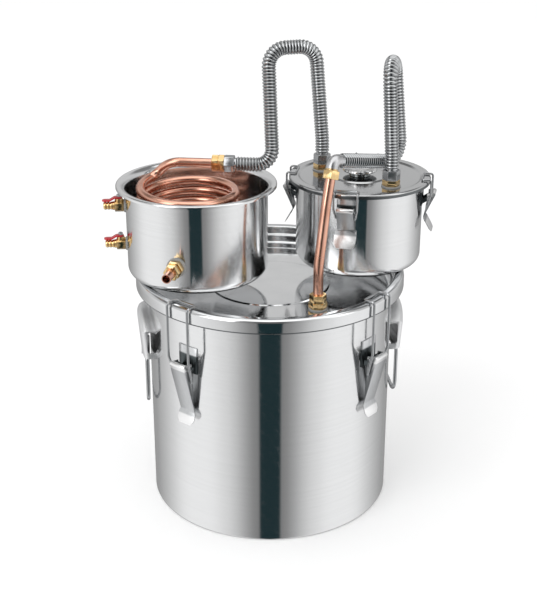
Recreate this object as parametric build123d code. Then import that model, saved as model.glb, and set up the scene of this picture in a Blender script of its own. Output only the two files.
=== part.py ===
"""Three-pot stainless still: a boiler with a clamped lid, a small lidded keg and an open
condenser pot with a copper coil, joined by copper tube and corrugated steel hoses.

Origin: middle of the boiler's base, on the surface that it stands on. +Z up, the outlet and
the riser tube face -Y, the condenser is on the -X side and the keg on the +X side.
An azimuth is counted in degrees from the front (-Y) towards +X.
"""
import os
from math import ceil, cos, pi, radians, sin, sqrt

from build123d import *

# ---------------------------------------------------------------- boiler, millimetres
BOILER_R = 150.0            # outside of the body
BOILER_HEIGHT = 297.0       # to the top of the lid's ring
BOILER_WALL = 1.2
BOILER_CORNER = 3.0         # rounding between base and wall
NECK_STEP = 4.5             # the pot's neck is this much wider than its body, in radius
NECK_DROP = 18.0            # the neck starts this far below the top
LID_WALL = 1.2
RING_WIDTH = 12.8           # top of the lid's ring, from the well to the skirt
SKIRT_HEIGHT = 18.0
WELL_DEPTH = 21.0           # the lid's plate lies this far below the top of its ring
LEDGE_DEPTH = 11.0          # a ledge half way down the well
BEAD_R = 72.0               # embossed circle in the lid's plate
BEAD_HEIGHT = 1.0
GASKET_THICKNESS = 4.4

# ---------------------------------------------------------------- small pots
POT_WALL = 1.0
CONDENSER_AZIMUTH = -83.8
CONDENSER_OVERHANG = 3.7    # its flat base passes the middle of the boiler's ring by this
CONDENSER_R = 85.0
CONDENSER_HEIGHT = 112.5
CONDENSER_CORNER = 11.0
CONDENSER_RIM = 10.9        # width of the rim
RIM_LIP = 2.6               # the rim's edge is turned down this far

KEG_AZIMUTH = 106.5
KEG_OVERHANG = 20.7
KEG_R = 77.3
KEG_HEIGHT = 109.0          # to the top of its lid's ring
KEG_CORNER = 13.0
KEG_RIM = 9.0
KEG_SKIRT = 5.4
KEG_LID_DROP = 1.8          # the lid's plate below the top of its ring
KEG_GASKET = 1.6
KEG_DISC_R = 32.0           # embossed disc under the knob
KEG_DISC_HEIGHT = 1.4

# ---------------------------------------------------------------- knob
KNOB_R = 21.0
KNOB_FOOT_R = 13.0
KNOB_HEIGHT = 12.0
KNOB_DISH = 2.2             # depth of the hollow in its top
KNOB_SCREW_R = 2.5
KNOB_SCREW_HEAD_R = 5.0

# ---------------------------------------------------------------- clearances
SEAT_GAP = 0.3              # between pieces that only rest near each other
RUN_GAP = 0.05              # of a pin in its hole, in radius
WELD_GAP = 0.05             # between a spot-welded plate and the round wall

# ---------------------------------------------------------------- tube, hose and fittings
RISER_TUBE_R = 6.0
COIL_TUBE_R = 5.5
TUBE_WALL = 1.0
HOSE_CREST_R = 8.7
HOSE_ROOT_R = 7.1
HOSE_BORE_R = 5.8
RIB_PITCH = 12.0            # at most, from one crest to the next
UNION_AF = 18.5             # across the flats of the brass unions
STEEL_NUT_AF = 18.5
STEEL_NUT_LENGTH = 12.0
UNION_LENGTH = 7.0          # brass hexagon under each steel nut
RISER_UNION_AF = 19.5
RISER_NUT_AF = 18.0
RISER_NUT_LENGTH = 10.0
SPIGOT_R = 6.6              # threaded stem of a fitting through sheet metal
SPIGOT_BORE_R = 4.4
SPIGOT_LENGTH = 10.0        # below the sheet metal's outer face
LOCKNUT_LENGTH = 5.0
WASHER_THICKNESS = 1.5
WASHER_R = 11.5

RISER_PORT = (56.0, -81.0)  # from the boiler's axis
RISER_TIP_AZIMUTH = -24.59  # its top end, seen from the keg's axis
RISER_TIP_GAP = 8.33        # and outside the keg's rim
RISER_RISE = 139.0          # its top end above the boiler's ring
RISER_LEAN = (2.0, 4.0, 12.0)   # direction of its top end
RISER_UPRIGHT = 45.0        # its first bend above the union
RISER_LAST = 40.0           # its last bend below its end
RISER_BENDS = (90.0, 90.0)
ELBOW_R = 7.6
ELBOW_BEND_R = 8.6
ELBOW_ARM = 9.5            # from its corner to each end
COLLAR_R = 7.4
COLLAR_LENGTH = 2.0
KEG_INLET = (33.8, -44.3)   # from the keg's axis
KEG_OUTLET = (-45.2, 25.7)
LOOP_TOP = 143.0            # first hose's loop above the keg's lid
LOOP_LEAN = (-6.4, 0.0)     # top of the front leg from the keg's inlet
LOOP_REAR = (3.0, 40.0)     # top of the rear leg from the keg's inlet
LOOP_HEEL = (15.0, 40.0)    # foot of the rear leg from the keg's inlet
LOOP_FOOT = 19.0            # the rear leg's lower bend above the keg's lid
LOOP_BEND_R = 20.5
LOOP_FOOT_R = 22.0
ARCH_TOP = 153.0            # second hose's arch above the keg's lid
ARCH_RIGHT = (-10.0, 0.0)   # top of the arch's right leg, from the keg's outlet
ARCH_LEFT = (-2.0, 40.0)    # top of its left leg, from the boiler's axis
ARCH_UPRIGHT = 36.0         # a hose starts to lean this far above the keg's lid
ARCH_LEAN_R = 90.0
ARCH_BEND_R = 22.0
ARCH_FOOT_R = 18.0
ARCH_FOOT_REACH = 58.0      # the left leg's foot from the feed union

# ---------------------------------------------------------------- coil in the condenser
COIL_SHIFT = (-10.5, 3.0)   # its axis from the pot's axis
COIL_R = 56.5
COIL_TURNS = 5              # whole turns, and the rest of one down to the outlet
COIL_START = 150.0          # degrees from +X, counted anticlockwise
COIL_DROP = 6.0             # its start below the pot's rim
COIL_TILT = 1.5             # its turns are this much higher at the back
FEED_RISE = 15.0            # the feed tube above the pot's rim
FEED_UNION = (33.0, 25.0)   # the feed union, from the pot's axis
FEED_DIRECTION = (1.0, -0.12, 0.0)
FEED_LENGTH = 48.0          # straight part of the feed tube from the union
FEED_NUT_LENGTH = 8.0
OUTLET_AZIMUTH = -14.0
OUTLET_HEIGHT = 35.0        # above the pot's base
OUTLET_REACH = 37.0         # the tube sticks out of the wall this far
OUTLET_AF = 18.0
OUTLET_BODY_LENGTH = 9.0
OUTLET_NUT_AF = 16.5
OUTLET_NUT_LENGTH = 8.0
OUTLET_TURN = 15.5          # size of the bend from the last turn to the outlet

# ---------------------------------------------------------------- ball valves
VALVE_AZIMUTH = -86.0
VALVE_HEIGHTS = {"upper": 85.0, "lower": 37.0}      # above the pot's base
VALVE_AF = 13.5
VALVE_HEX_LENGTH = 11.0
VALVE_REACH = 26.0
VALVE_NECK_R = 5.2
VALVE_NECK_LENGTH = 2.5
VALVE_SPIGOT_R = 4.8
BARBS = 3
BARB_R = 4.9
BARB_ROOT_R = 4.0
VALVE_BORE_R = 2.6
STEM_R = 2.0
STEM_OFFSET = 6.0           # stem axis from the pot's wall
BONNET_R = 4.6
BONNET_HEIGHT = 2.4
STEM_NUT_AF = 5.5
STEM_NUT_LENGTH = 2.4
LEVER_PLATE = 1.6
VALVE_LEVER_LENGTH = 20.0
VALVE_LEVER_WIDTH = 7.6
VALVE_LEVER_DROP = 3.6      # its outer end is bent down this far

# ---------------------------------------------------------------- side handles
HANDLE_AZIMUTHS = {"left": -84.5, "right": 95.5}
HANDLE_DROP = 46.0          # its top below the top of the boiler
HANDLE_WIDTH = 92.0
HANDLE_HEIGHT = 51.0
HANDLE_ARCH = 14.0          # rise of its arched top
HANDLE_DEPTH = (15.5, 11.3)     # out from the wall at its top and at its lower edge
HANDLE_FRONT_R = 230.0      # its front is rounder than flat and flatter than the wall
HANDLE_SHEET = 1.5
HANDLE_SHOULDER = 7.0       # rounding of its upper and side edges
WINDOW_WIDTH = 11.0
WINDOW_HEIGHT = 28.0
WINDOW_DROP = 16.0
RING_WIRE_R = 2.3
RING_OUT = 4.9              # the ring's hinge from the wall
RING_BELOW = 3.2            # and below the hood's edge
RING_OUTSIDE = 76.0
RING_DROP = 63.0
RING_CORNER = 20.0
RING_TOP_CORNER = 5.0

# ---------------------------------------------------------------- clamps
CLAMP_SHEET = 1.2
EAR_SHEET = 1.5
EAR_WALL = 1.6              # metal around the rivet in each ear
PIN_HEAD = 0.8              # length of a rivet's head, and its overhang
BAR_INSET = 1.0             # the crossbar lies this far outside the edge of the well
CLAMPS = {
    # places in the clamp's own plane: (out from the pot's wall, below the top of the rim)
    "boiler": {
        "azimuths": (-39.5, 50.5, 140.5, -129.5), "pivot": (10.0, 75.0), "pin_r": 1.8,
        "hook": (8.8, 94.0), "curl": (17.0, 72.5), "curl_r": 3.2, "knee": (2.6, 135.0),
        "tail": (8.5, 151.0), "lever_width": 22.0, "tail_width": 25.0, "wire_r": 1.5,
        "leg_spacing": 31.0, "shoulder": 64.0, "plate_width": 28.0, "plate": (53.0, 86.0)},
    "keg": {
        "azimuths": (-15.0, 78.0, 169.5, -101.0), "pivot": (9.4, 22.0), "pin_r": 1.2,
        "hook": (8.0, 29.5), "curl": (13.6, 18.0), "curl_r": 2.7, "knee": (2.4, 46.0),
        "tail": (13.0, 64.5), "lever_width": 20.0, "tail_width": 26.0, "wire_r": 1.2,
        "leg_spacing": 28.0, "shoulder": 18.0, "plate_width": 24.0, "plate": (9.0, 32.0)},
}


# ================================================================ places worked out
def polar(centre, radius, azimuth, height=0.0):
    """Point at a distance from a vertical axis, in the direction of an azimuth."""
    turn = radians(azimuth)
    axis = Vector(*centre)
    return Vector(axis.X + radius * sin(turn), axis.Y - radius * cos(turn), height)


NECK_R = BOILER_R + NECK_STEP
WELL_R = NECK_R - BOILER_WALL - SEAT_GAP - LID_WALL
LOWER_WELL_R = BOILER_R - BOILER_WALL - SEAT_GAP - LID_WALL
RING_R = WELL_R + RING_WIDTH
PLATE_Z = BOILER_HEIGHT - WELL_DEPTH
RING_MIDDLE_R = WELL_R + RING_WIDTH / 2
CONDENSER_C = polar((0, 0), RING_MIDDLE_R + CONDENSER_OVERHANG - CONDENSER_R + CONDENSER_CORNER,
                    CONDENSER_AZIMUTH)
KEG_C = polar((0, 0), RING_MIDDLE_R + KEG_OVERHANG - KEG_R + KEG_CORNER, KEG_AZIMUTH)
CONDENSER_TOP = BOILER_HEIGHT + CONDENSER_HEIGHT
KEG_TOP = BOILER_HEIGHT + KEG_HEIGHT
KEG_PLATE_Z = KEG_TOP - KEG_LID_DROP
KEG_RIM_R = KEG_R + KEG_RIM
INLET = Vector(KEG_C.X + KEG_INLET[0], KEG_C.Y + KEG_INLET[1], KEG_PLATE_Z)
OUTLET = Vector(KEG_C.X + KEG_OUTLET[0], KEG_C.Y + KEG_OUTLET[1], KEG_PLATE_Z)
RISER_FOOT = Vector(RISER_PORT[0], RISER_PORT[1], PLATE_Z)
RISER_TIP = polar(KEG_C, KEG_RIM_R + RISER_TIP_GAP, RISER_TIP_AZIMUTH,
                  BOILER_HEIGHT + RISER_RISE)


# ================================================================ shared shapes
def sheet_turned(points, radii, wall, side=Side.LEFT, centre=(0.0, 0.0), base=0.0):
    """Sheet metal turned about a vertical axis: an open outline of (radius, height) points
    with rounded corners, thickened to one side."""
    outline = FilletPolyline(*points, radius=radii)
    section = make_face(offset(outline, amount=wall, side=side))
    return Pos(centre[0], centre[1], base) * revolve(Plane.XZ * section, Axis.Z)


def turned(points, centre=(0.0, 0.0), base=0.0):
    """Solid of revolution from a closed outline of (radius, height) points."""
    section = make_face(Polyline(*points, close=True))
    return Pos(centre[0], centre[1], base) * revolve(Plane.XZ * section, Axis.Z)


def along(origin, direction, shape):
    """Move a shape that stands on +Z so that it stands on a direction at an origin."""
    return Plane(origin=origin, z_dir=Vector(*direction).normalized()) * shape


def disc(radius, length, base=0.0):
    """Cylinder standing on +Z."""
    return Pos(0, 0, base) * Cylinder(radius, length, align=(Align.CENTER, Align.CENTER, Align.MIN))


def hexagon(flats, length, bore_r=0.0, base=0.0):
    """Hexagonal nut standing on +Z, its corners turned off at both ends."""
    corner_r = flats / sqrt(3)
    cut = (corner_r - flats / 2) * 0.8
    prism = extrude(RegularPolygon(flats / 2, 6, major_radius=False), length)
    blank = turned([(0, 0), (corner_r - cut, 0), (corner_r, cut / 2), (corner_r, length - cut / 2),
                    (corner_r - cut, length), (0, length)])
    nut = prism & blank
    if bore_r:
        nut = nut - disc(bore_r, length)
    return Pos(0, 0, base) * nut


def swept(path, radius, bore_r=0.0):
    """Round bar or tube along a path."""
    section = Circle(radius)
    if bore_r:
        section = section - Circle(bore_r)
    start = Plane(origin=path @ 0, z_dir=path % 0)
    return sweep(start * section, path=path)


def steady_plane(path, distance, across):
    """Plane square to a path, its X axis kept close to one fixed direction."""
    share = distance / path.length
    tangent = path % share
    steady = across - tangent * across.dot(tangent)
    return Plane(origin=path @ share, x_dir=steady.normalized(), z_dir=tangent)


def ribbed_hose(path, across):
    """Corrugated hose: plain cuffs of one diameter at both ends, ribs between them, and a
    bore."""
    cuff = 2 * HOSE_CREST_R
    ribs = ceil((path.length - 2 * cuff) / RIB_PITCH)
    pitch = (path.length - 2 * cuff) / ribs
    stations = [(0.0, HOSE_ROOT_R)]
    for rib in range(ribs):
        start = cuff + rib * pitch
        stations += [(start + 0.10 * pitch, HOSE_ROOT_R), (start + 0.35 * pitch, HOSE_CREST_R),
                     (start + 0.65 * pitch, HOSE_CREST_R), (start + 0.90 * pitch, HOSE_ROOT_R)]
    stations.append((path.length, HOSE_ROOT_R))
    sections = [steady_plane(path, distance, across) * Circle(radius)
                for distance, radius in stations]
    return loft(sections, ruled=True) - swept(path, HOSE_BORE_R)


def biarc(start, start_dir, end, end_dir):
    """Two arcs that leave the start and reach the end in the given directions."""
    chord = end - start
    both = start_dir + end_dir
    spread = 2 * (1 - start_dir.dot(end_dir))
    reach = (sqrt(chord.dot(both) ** 2 + spread * chord.dot(chord)) - chord.dot(both)) / spread
    first_corner = start + start_dir * reach
    last_corner = end - end_dir * reach
    middle = (first_corner + last_corner) / 2
    return [TangentArc(start, middle, tangent=start_dir),
            TangentArc(middle, end, tangent=(last_corner - first_corner).normalized())]


# ================================================================ boiler
def boiler_pot():
    flange_z = BOILER_HEIGHT - LID_WALL - GASKET_THICKNESS - BOILER_WALL
    neck_z = BOILER_HEIGHT - NECK_DROP
    flange_r = RING_R - LID_WALL - SEAT_GAP - 2.5
    return sheet_turned(
        [(0, 0), (BOILER_R, 0), (BOILER_R, neck_z), (NECK_R, neck_z + NECK_STEP),
         (NECK_R, flange_z), (flange_r, flange_z)],
        [BOILER_CORNER, 3.0, 3.0, 1.6], BOILER_WALL)


def boiler_gasket():
    """Silicone ring between the pot's flange and the lid's ring, with a rounded back."""
    inner_r = NECK_R + 1.0
    outer_r = RING_R - LID_WALL - SEAT_GAP - 3.6
    section = Pos((inner_r + outer_r) / 2, 0) * RectangleRounded(
        outer_r - inner_r, GASKET_THICKNESS, 0.8)
    middle_z = BOILER_HEIGHT - LID_WALL - GASKET_THICKNESS / 2
    return Pos(0, 0, middle_z) * revolve(Plane.XZ * section, Axis.Z)


def boiler_lid():
    ledge_z = BOILER_HEIGHT - LEDGE_DEPTH
    lid = sheet_turned(
        [(0, PLATE_Z + BEAD_HEIGHT), (BEAD_R, PLATE_Z + BEAD_HEIGHT), (BEAD_R + 2.5, PLATE_Z),
         (LOWER_WELL_R, PLATE_Z), (LOWER_WELL_R, ledge_z), (WELL_R, ledge_z),
         (WELL_R, BOILER_HEIGHT), (RING_R, BOILER_HEIGHT), (RING_R, BOILER_HEIGHT - SKIRT_HEIGHT)],
        [2.0, 2.0, 3.0, 2.0, 2.0, 3.5, 5.0], LID_WALL, side=Side.RIGHT)
    hole = Pos(RISER_FOOT) * disc(SPIGOT_R, 4 * LID_WALL, -3 * LID_WALL)
    return lid - hole


# ================================================================ small pots
def condenser_pot():
    rim_r = CONDENSER_R + CONDENSER_RIM - POT_WALL
    rim_z = CONDENSER_HEIGHT - POT_WALL
    pot = sheet_turned(
        [(0, 0), (CONDENSER_R, 0), (CONDENSER_R, rim_z), (rim_r, rim_z),
         (rim_r, rim_z - RIM_LIP)],
        [CONDENSER_CORNER, 3.0, 1.2], POT_WALL, side=Side.LEFT,
        centre=(CONDENSER_C.X, CONDENSER_C.Y), base=BOILER_HEIGHT)
    for height in VALVE_HEIGHTS.values():
        pot = pot - wall_place(VALVE_AZIMUTH, height) * disc(VALVE_SPIGOT_R, 6.0, -3.0)
    return pot - wall_place(OUTLET_AZIMUTH, OUTLET_HEIGHT) * disc(SPIGOT_R, 6.0, -3.0)


def wall_place(azimuth, height):
    """Plane on the condenser's wall that looks outwards, its X axis level."""
    origin = polar(CONDENSER_C, CONDENSER_R, azimuth, BOILER_HEIGHT + height)
    outward = polar((0, 0), 1.0, azimuth)
    return Plane(origin=origin, x_dir=Vector(0, 0, 1).cross(outward), z_dir=outward)


def keg_pot():
    flange_z = KEG_HEIGHT - POT_WALL - KEG_GASKET - POT_WALL
    flange_r = KEG_R + KEG_RIM - POT_WALL - SEAT_GAP
    return sheet_turned(
        [(0, 0), (KEG_R, 0), (KEG_R, flange_z), (flange_r, flange_z)],
        [KEG_CORNER, 2.0], POT_WALL, centre=(KEG_C.X, KEG_C.Y), base=BOILER_HEIGHT)


def keg_gasket():
    inner_r = KEG_R + 0.8
    outer_r = KEG_R + KEG_RIM - POT_WALL - SEAT_GAP - 1.2
    top = KEG_TOP - POT_WALL
    return turned([(inner_r, top - KEG_GASKET), (outer_r, top - KEG_GASKET), (outer_r, top),
                   (inner_r, top)], centre=(KEG_C.X, KEG_C.Y))


def keg_lid():
    """Lid with an embossed disc under the knob, a slightly sunk plate and a turned-down edge."""
    plate_r = KEG_R - POT_WALL - SEAT_GAP
    lid = sheet_turned(
        [(0, KEG_PLATE_Z + KEG_DISC_HEIGHT), (KEG_DISC_R, KEG_PLATE_Z + KEG_DISC_HEIGHT),
         (KEG_DISC_R + 3.0, KEG_PLATE_Z), (plate_r - 3.0, KEG_PLATE_Z), (plate_r, KEG_TOP),
         (KEG_RIM_R, KEG_TOP), (KEG_RIM_R, KEG_TOP - KEG_SKIRT)],
        [2.0, 2.0, 2.0, 2.0, 2.2], POT_WALL, side=Side.RIGHT, centre=(KEG_C.X, KEG_C.Y))
    for port in (INLET, OUTLET):
        lid = lid - Pos(port) * disc(SPIGOT_R, 6 * POT_WALL, -4 * POT_WALL)
    seat_z = KEG_PLATE_Z + KEG_DISC_HEIGHT
    return lid - Pos(KEG_C.X, KEG_C.Y, seat_z) * disc(KNOB_SCREW_R, 4 * POT_WALL, -3 * POT_WALL)


def keg_knob():
    """Spun knob with a narrow foot, a flared flank, a rounded rim and a dished top."""
    waist_z = KNOB_HEIGHT * 0.2
    flare_z = KNOB_HEIGHT * 0.68
    dish_r = KNOB_R * 0.78
    outline = [
        Line((0, 0), (KNOB_FOOT_R, 0)),
        Line((KNOB_FOOT_R, 0), (KNOB_FOOT_R - 1.0, waist_z)),
        ThreePointArc((KNOB_FOOT_R - 1.0, waist_z), (KNOB_FOOT_R + 1.8, KNOB_HEIGHT * 0.5),
                      (KNOB_R - 1.0, flare_z)),
        ThreePointArc((KNOB_R - 1.0, flare_z), (KNOB_R, KNOB_HEIGHT * 0.86),
                      (KNOB_R - 1.6, KNOB_HEIGHT)),
        Line((KNOB_R - 1.6, KNOB_HEIGHT), (dish_r, KNOB_HEIGHT)),
        Line((dish_r, KNOB_HEIGHT), (dish_r * 0.8, KNOB_HEIGHT - KNOB_DISH)),
        Line((dish_r * 0.8, KNOB_HEIGHT - KNOB_DISH), (0, KNOB_HEIGHT - KNOB_DISH)),
        Line((0, KNOB_HEIGHT - KNOB_DISH), (0, 0))]
    body = revolve(Plane.XZ * make_face(Curve() + outline), Axis.Z)
    body = body - disc(KNOB_SCREW_R, KNOB_HEIGHT * 0.5)
    return Pos(KEG_C.X, KEG_C.Y, KEG_PLATE_Z + KEG_DISC_HEIGHT) * body


def knob_screw():
    """Pan-head screw from under the lid into the knob."""
    screw = disc(KNOB_SCREW_R, POT_WALL + KNOB_HEIGHT * 0.5) + disc(KNOB_SCREW_HEAD_R, 2.0, -2.0)
    return Pos(KEG_C.X, KEG_C.Y, KEG_PLATE_Z + KEG_DISC_HEIGHT - POT_WALL) * screw


# ================================================================ clamps
# A clamp is drawn in its own frame, X level along the wall, -Y out from the wall and Z up from
# the top of the rim, and then carried to its azimuth.
POTS = {
    "boiler": {"centre": (0.0, 0.0), "wall_r": BOILER_R, "rim_r": RING_R, "top": BOILER_HEIGHT,
               "bar_r": WELL_R + BAR_INSET},
    "keg": {"centre": (KEG_C.X, KEG_C.Y), "wall_r": KEG_R, "rim_r": KEG_RIM_R, "top": KEG_TOP,
            "bar_r": KEG_R - POT_WALL - SEAT_GAP + BAR_INSET},
}


def carried(shape, pot, azimuth):
    """A shape from the clamp's frame at its place on a pot."""
    axis = Pos(*pot["centre"], pot["top"])
    return axis * Rot(0, 0, azimuth) * Pos(0, -pot["wall_r"], 0) * shape


def across(radius, start, end, place):
    """Round bar along X from start to end, at (out, drop)."""
    bar = disc(radius, end - start)
    return Pos(start, -place[0], -place[1]) * Rot(0, 90, 0) * bar


def side_plate(outline, start, sheet):
    """Plate square to X from an outline of (out, drop) points."""
    face = make_face(Polyline(*[(0, -out, -drop) for out, drop in outline], close=True))
    return Pos(start, 0, 0) * extrude(face, amount=sheet, dir=(1, 0, 0))


def clamp_base(clamp, pot):
    """Curved plate welded to the wall, with two ears."""
    top, bottom = clamp["plate"]
    wall_r = pot["wall_r"]
    out, drop = clamp["pivot"]
    barrel = disc(wall_r + CLAMP_SHEET, bottom - top, -bottom)
    barrel -= disc(wall_r + WELD_GAP, bottom - top, -bottom)
    base = Pos(0, wall_r, 0) * barrel & Pos(0, 0, -(top + bottom) / 2) * Box(
        clamp["plate_width"], 4 * CLAMP_SHEET + 2, bottom - top)
    ear_x = clamp["lever_width"] / 2 - CLAMP_SHEET - SEAT_GAP - EAR_SHEET
    ear_r = clamp["pin_r"] + EAR_WALL
    # the upper edge falls towards the wall, so that the lever's roll can swing over it
    outline = [(CLAMP_SHEET / 2, drop + ear_r), (out, drop - ear_r), (out, drop + ear_r),
               (CLAMP_SHEET / 2, drop + 3 * ear_r)]
    for start in (ear_x, -ear_x - EAR_SHEET):
        ear = side_plate(outline, start, EAR_SHEET)
        base += ear + across(ear_r, start, start + EAR_SHEET, clamp["pivot"])
    return base - across(clamp["pin_r"], -clamp["lever_width"], clamp["lever_width"],
                         clamp["pivot"])


def clamp_pin(clamp):
    """Rivet through both ears, its heads outside the lever's cheeks."""
    half = clamp["lever_width"] / 2 + SEAT_GAP
    head_r = clamp["pin_r"] + PIN_HEAD
    pin = across(clamp["pin_r"], -half, half, clamp["pivot"])
    pin += across(head_r, half, half + PIN_HEAD, clamp["pivot"])
    return pin + across(head_r, -half - PIN_HEAD, -half, clamp["pivot"])


def clamp_lever(clamp):
    """Pressed channel: a rolled top edge, a sloping back, two cheeks and a finger tab."""
    half = clamp["lever_width"] / 2
    tail_half = clamp["tail_width"] / 2
    curl_out, curl_drop = clamp["curl"]
    knee_out, knee_drop = clamp["knee"]
    tail_out, tail_drop = clamp["tail"]
    pivot_out, pivot_drop = clamp["pivot"]
    hook_out, hook_drop = clamp["hook"]
    roll = clamp["curl_r"]
    fold = FilletPolyline(
        (0, -curl_out - roll, -curl_drop), (0, -knee_out - CLAMP_SHEET, -knee_drop),
        (0, -tail_out - CLAMP_SHEET, -tail_drop), radius=5.0)
    section = Plane(origin=fold @ 0, x_dir=(1, 0, 0), z_dir=fold % 0) * Pos(
        0, -CLAMP_SHEET / 2) * Rectangle(2 * tail_half, CLAMP_SHEET)
    back = sweep(section, path=fold)
    front_view = FilletPolyline(
        (-half, -curl_drop + 2), (half, -curl_drop + 2), (half, -knee_drop),
        (tail_half, -knee_drop - 4), (tail_half, -tail_drop - 1), (-tail_half, -tail_drop - 1),
        (-tail_half, -knee_drop - 4), (-half, -knee_drop),
        radius=[0, 0, 0, 0, 8.0, 8.0, 0, 0], close=True)
    back = back & extrude(Plane.XZ * make_face(front_view), amount=60)
    curl = across(roll, -half, half, clamp["curl"])
    curl -= across(roll - CLAMP_SHEET, -half, half, clamp["curl"])
    slope = (curl_out + roll - knee_out - CLAMP_SHEET) / (knee_drop - curl_drop)
    toe = 4.0
    cheek_back = clamp["pin_r"] + EAR_WALL
    outline = [(curl_out + roll - CLAMP_SHEET / 2, curl_drop), (curl_out, curl_drop - roll * 0.9),
               (pivot_out - cheek_back, curl_drop - roll * 0.5),
               (pivot_out - cheek_back, pivot_drop + 2), (hook_out - cheek_back, hook_drop + 2),
               (knee_out + CLAMP_SHEET / 2 + toe * slope, knee_drop - toe)]
    lever = back + curl
    for start in (half - CLAMP_SHEET, -half):
        lever += side_plate(outline, start, CLAMP_SHEET)
    lever -= across(clamp["pin_r"] + RUN_GAP, -2 * half, 2 * half, clamp["pivot"])
    return lever - across(clamp["wire_r"] + RUN_GAP, -2 * half, 2 * half, clamp["hook"])


def clamp_bail(clamp, pot):
    """One bent wire: in through both cheeks, up beside the lever and over the rim."""
    wire = clamp["wire_r"]
    hook_out, hook_drop = clamp["hook"]
    end_x = clamp["lever_width"] / 2 - CLAMP_SHEET
    hook_x = clamp["lever_width"] / 2 + SEAT_GAP + wire
    leg_x = clamp["leg_spacing"] / 2
    leg_out = pot["rim_r"] - pot["wall_r"] + wire + 2 * SEAT_GAP
    bar_out = pot["bar_r"] - pot["wall_r"]
    bar_z = wire + SEAT_GAP
    right = [(end_x, -hook_out, -hook_drop), (hook_x, -hook_out, -hook_drop),
             (leg_x, -leg_out, -clamp["shoulder"]), (leg_x, -leg_out, bar_z),
             (leg_x, -bar_out, bar_z)]
    left = [(-x, y, z) for x, y, z in reversed(right)]
    bends = [wire * 1.15, 6 * wire, 2.6 * wire, 2.0 * wire]
    path = FilletPolyline(*right, *left, radius=bends + bends[::-1])
    return swept(path, wire)


# ================================================================ side handles
def hood(inset):
    """Arched block with a rounded front that leans back towards its lower edge."""
    half = HANDLE_WIDTH / 2 - inset
    spring = -HANDLE_ARCH
    foot = -HANDLE_HEIGHT - 2 * inset
    outline = Curve() + [
        Line((-half, foot), (-half, spring)),
        ThreePointArc((-half, spring), (0, -inset), (half, spring)),
        Line((half, spring), (half, foot)), Line((half, foot), (-half, foot))]
    prism = extrude(Plane.XZ * make_face(outline), amount=3 * HANDLE_DEPTH[0], both=True)
    top_out, foot_out = HANDLE_DEPTH
    front = Pos(0, HANDLE_FRONT_R, foot) * Cone(
        HANDLE_FRONT_R + foot_out - inset, HANDLE_FRONT_R + top_out - inset, -foot,
        align=(Align.CENTER, Align.CENTER, Align.MIN))
    block = prism & front
    face = block.faces().sort_by(Axis.Y)[0]
    edges = [edge for edge in face.edges() if edge.center().Z > foot + 1]
    return fillet(edges, HANDLE_SHOULDER - inset)


def handle_bracket(azimuth):
    """Pressed hood with a window in each side and a rolled lower edge for the ring."""
    cover = hood(0.0) - hood(HANDLE_SHEET)
    window_y = 2.0
    cover -= Pos(0, window_y, -WINDOW_DROP - WINDOW_HEIGHT / 2) * Rot(0, 90, 0) * extrude(
        RectangleRounded(WINDOW_HEIGHT, WINDOW_WIDTH, 4.0), HANDLE_WIDTH, both=True)
    roll_r = RING_WIRE_R + RUN_GAP + HANDLE_SHEET
    roll_half = RING_OUTSIDE / 2 - 2 * RING_WIRE_R - RING_TOP_CORNER
    place = (RING_OUT, HANDLE_HEIGHT + RING_BELOW)
    lip = Pos(0, -(RING_OUT + HANDLE_DEPTH[1]) / 2, -HANDLE_HEIGHT + HANDLE_SHEET / 2) * Box(
        2 * roll_half, HANDLE_DEPTH[1] - RING_OUT, HANDLE_SHEET)
    cover += lip + across(roll_r, -roll_half, roll_half, place)
    cover -= across(RING_WIRE_R + RUN_GAP, -roll_half, roll_half, place)
    cover -= Pos(0, BOILER_R, -HANDLE_HEIGHT - 10) * disc(BOILER_R, HANDLE_HEIGHT + 20)
    return handle_place(azimuth) * cover


def handle_place(azimuth):
    return Pos(0, 0, BOILER_HEIGHT - HANDLE_DROP) * Rot(0, 0, azimuth) * Pos(0, -BOILER_R, 0)


def handle_ring(azimuth):
    """Closed D-shaped wire ring that hangs from the bracket's rolled edge."""
    leg_x = RING_OUTSIDE / 2 - RING_WIRE_R
    half = swept(FilletPolyline((0, 0, 0), (leg_x, 0, 0), (leg_x, 0, -RING_DROP),
                                (0, 0, -RING_DROP), radius=[RING_TOP_CORNER, RING_CORNER]),
                 RING_WIRE_R)
    ring = half + mirror(half, about=Plane.YZ)
    return handle_place(azimuth) * Pos(0, -RING_OUT, -HANDLE_HEIGHT - RING_BELOW) * ring


# ================================================================ fittings in the lids
def lid_union(port, flats):
    """Hexagon with a hollow threaded stem through the lid, on its washer."""
    body = hexagon(flats, UNION_LENGTH) + disc(SPIGOT_R, SPIGOT_LENGTH + WASHER_THICKNESS,
                                               -SPIGOT_LENGTH - WASHER_THICKNESS)
    body -= disc(SPIGOT_BORE_R, 4 * SPIGOT_LENGTH, -2 * SPIGOT_LENGTH)
    return Pos(port) * Pos(0, 0, WASHER_THICKNESS) * body


def lid_washer(port):
    washer = disc(WASHER_R, WASHER_THICKNESS) - disc(SPIGOT_R, WASHER_THICKNESS)
    return Pos(port) * washer


def lid_locknut(port, sheet):
    return Pos(port) * hexagon(UNION_AF, LOCKNUT_LENGTH, SPIGOT_R, -sheet - LOCKNUT_LENGTH)


def riser_route():
    """Centre line of the riser tube: upright out of its union, then leaning back to the elbow."""
    lean = Vector(*RISER_LEAN).normalized()
    foot = RISER_FOOT + Vector(0, 0, WASHER_THICKNESS + UNION_LENGTH)
    route = FilletPolyline(foot, foot + Vector(0, 0, RISER_UPRIGHT), RISER_TIP - lean * RISER_LAST,
                           RISER_TIP, radius=list(RISER_BENDS))
    return route, RISER_TIP, lean


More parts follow.
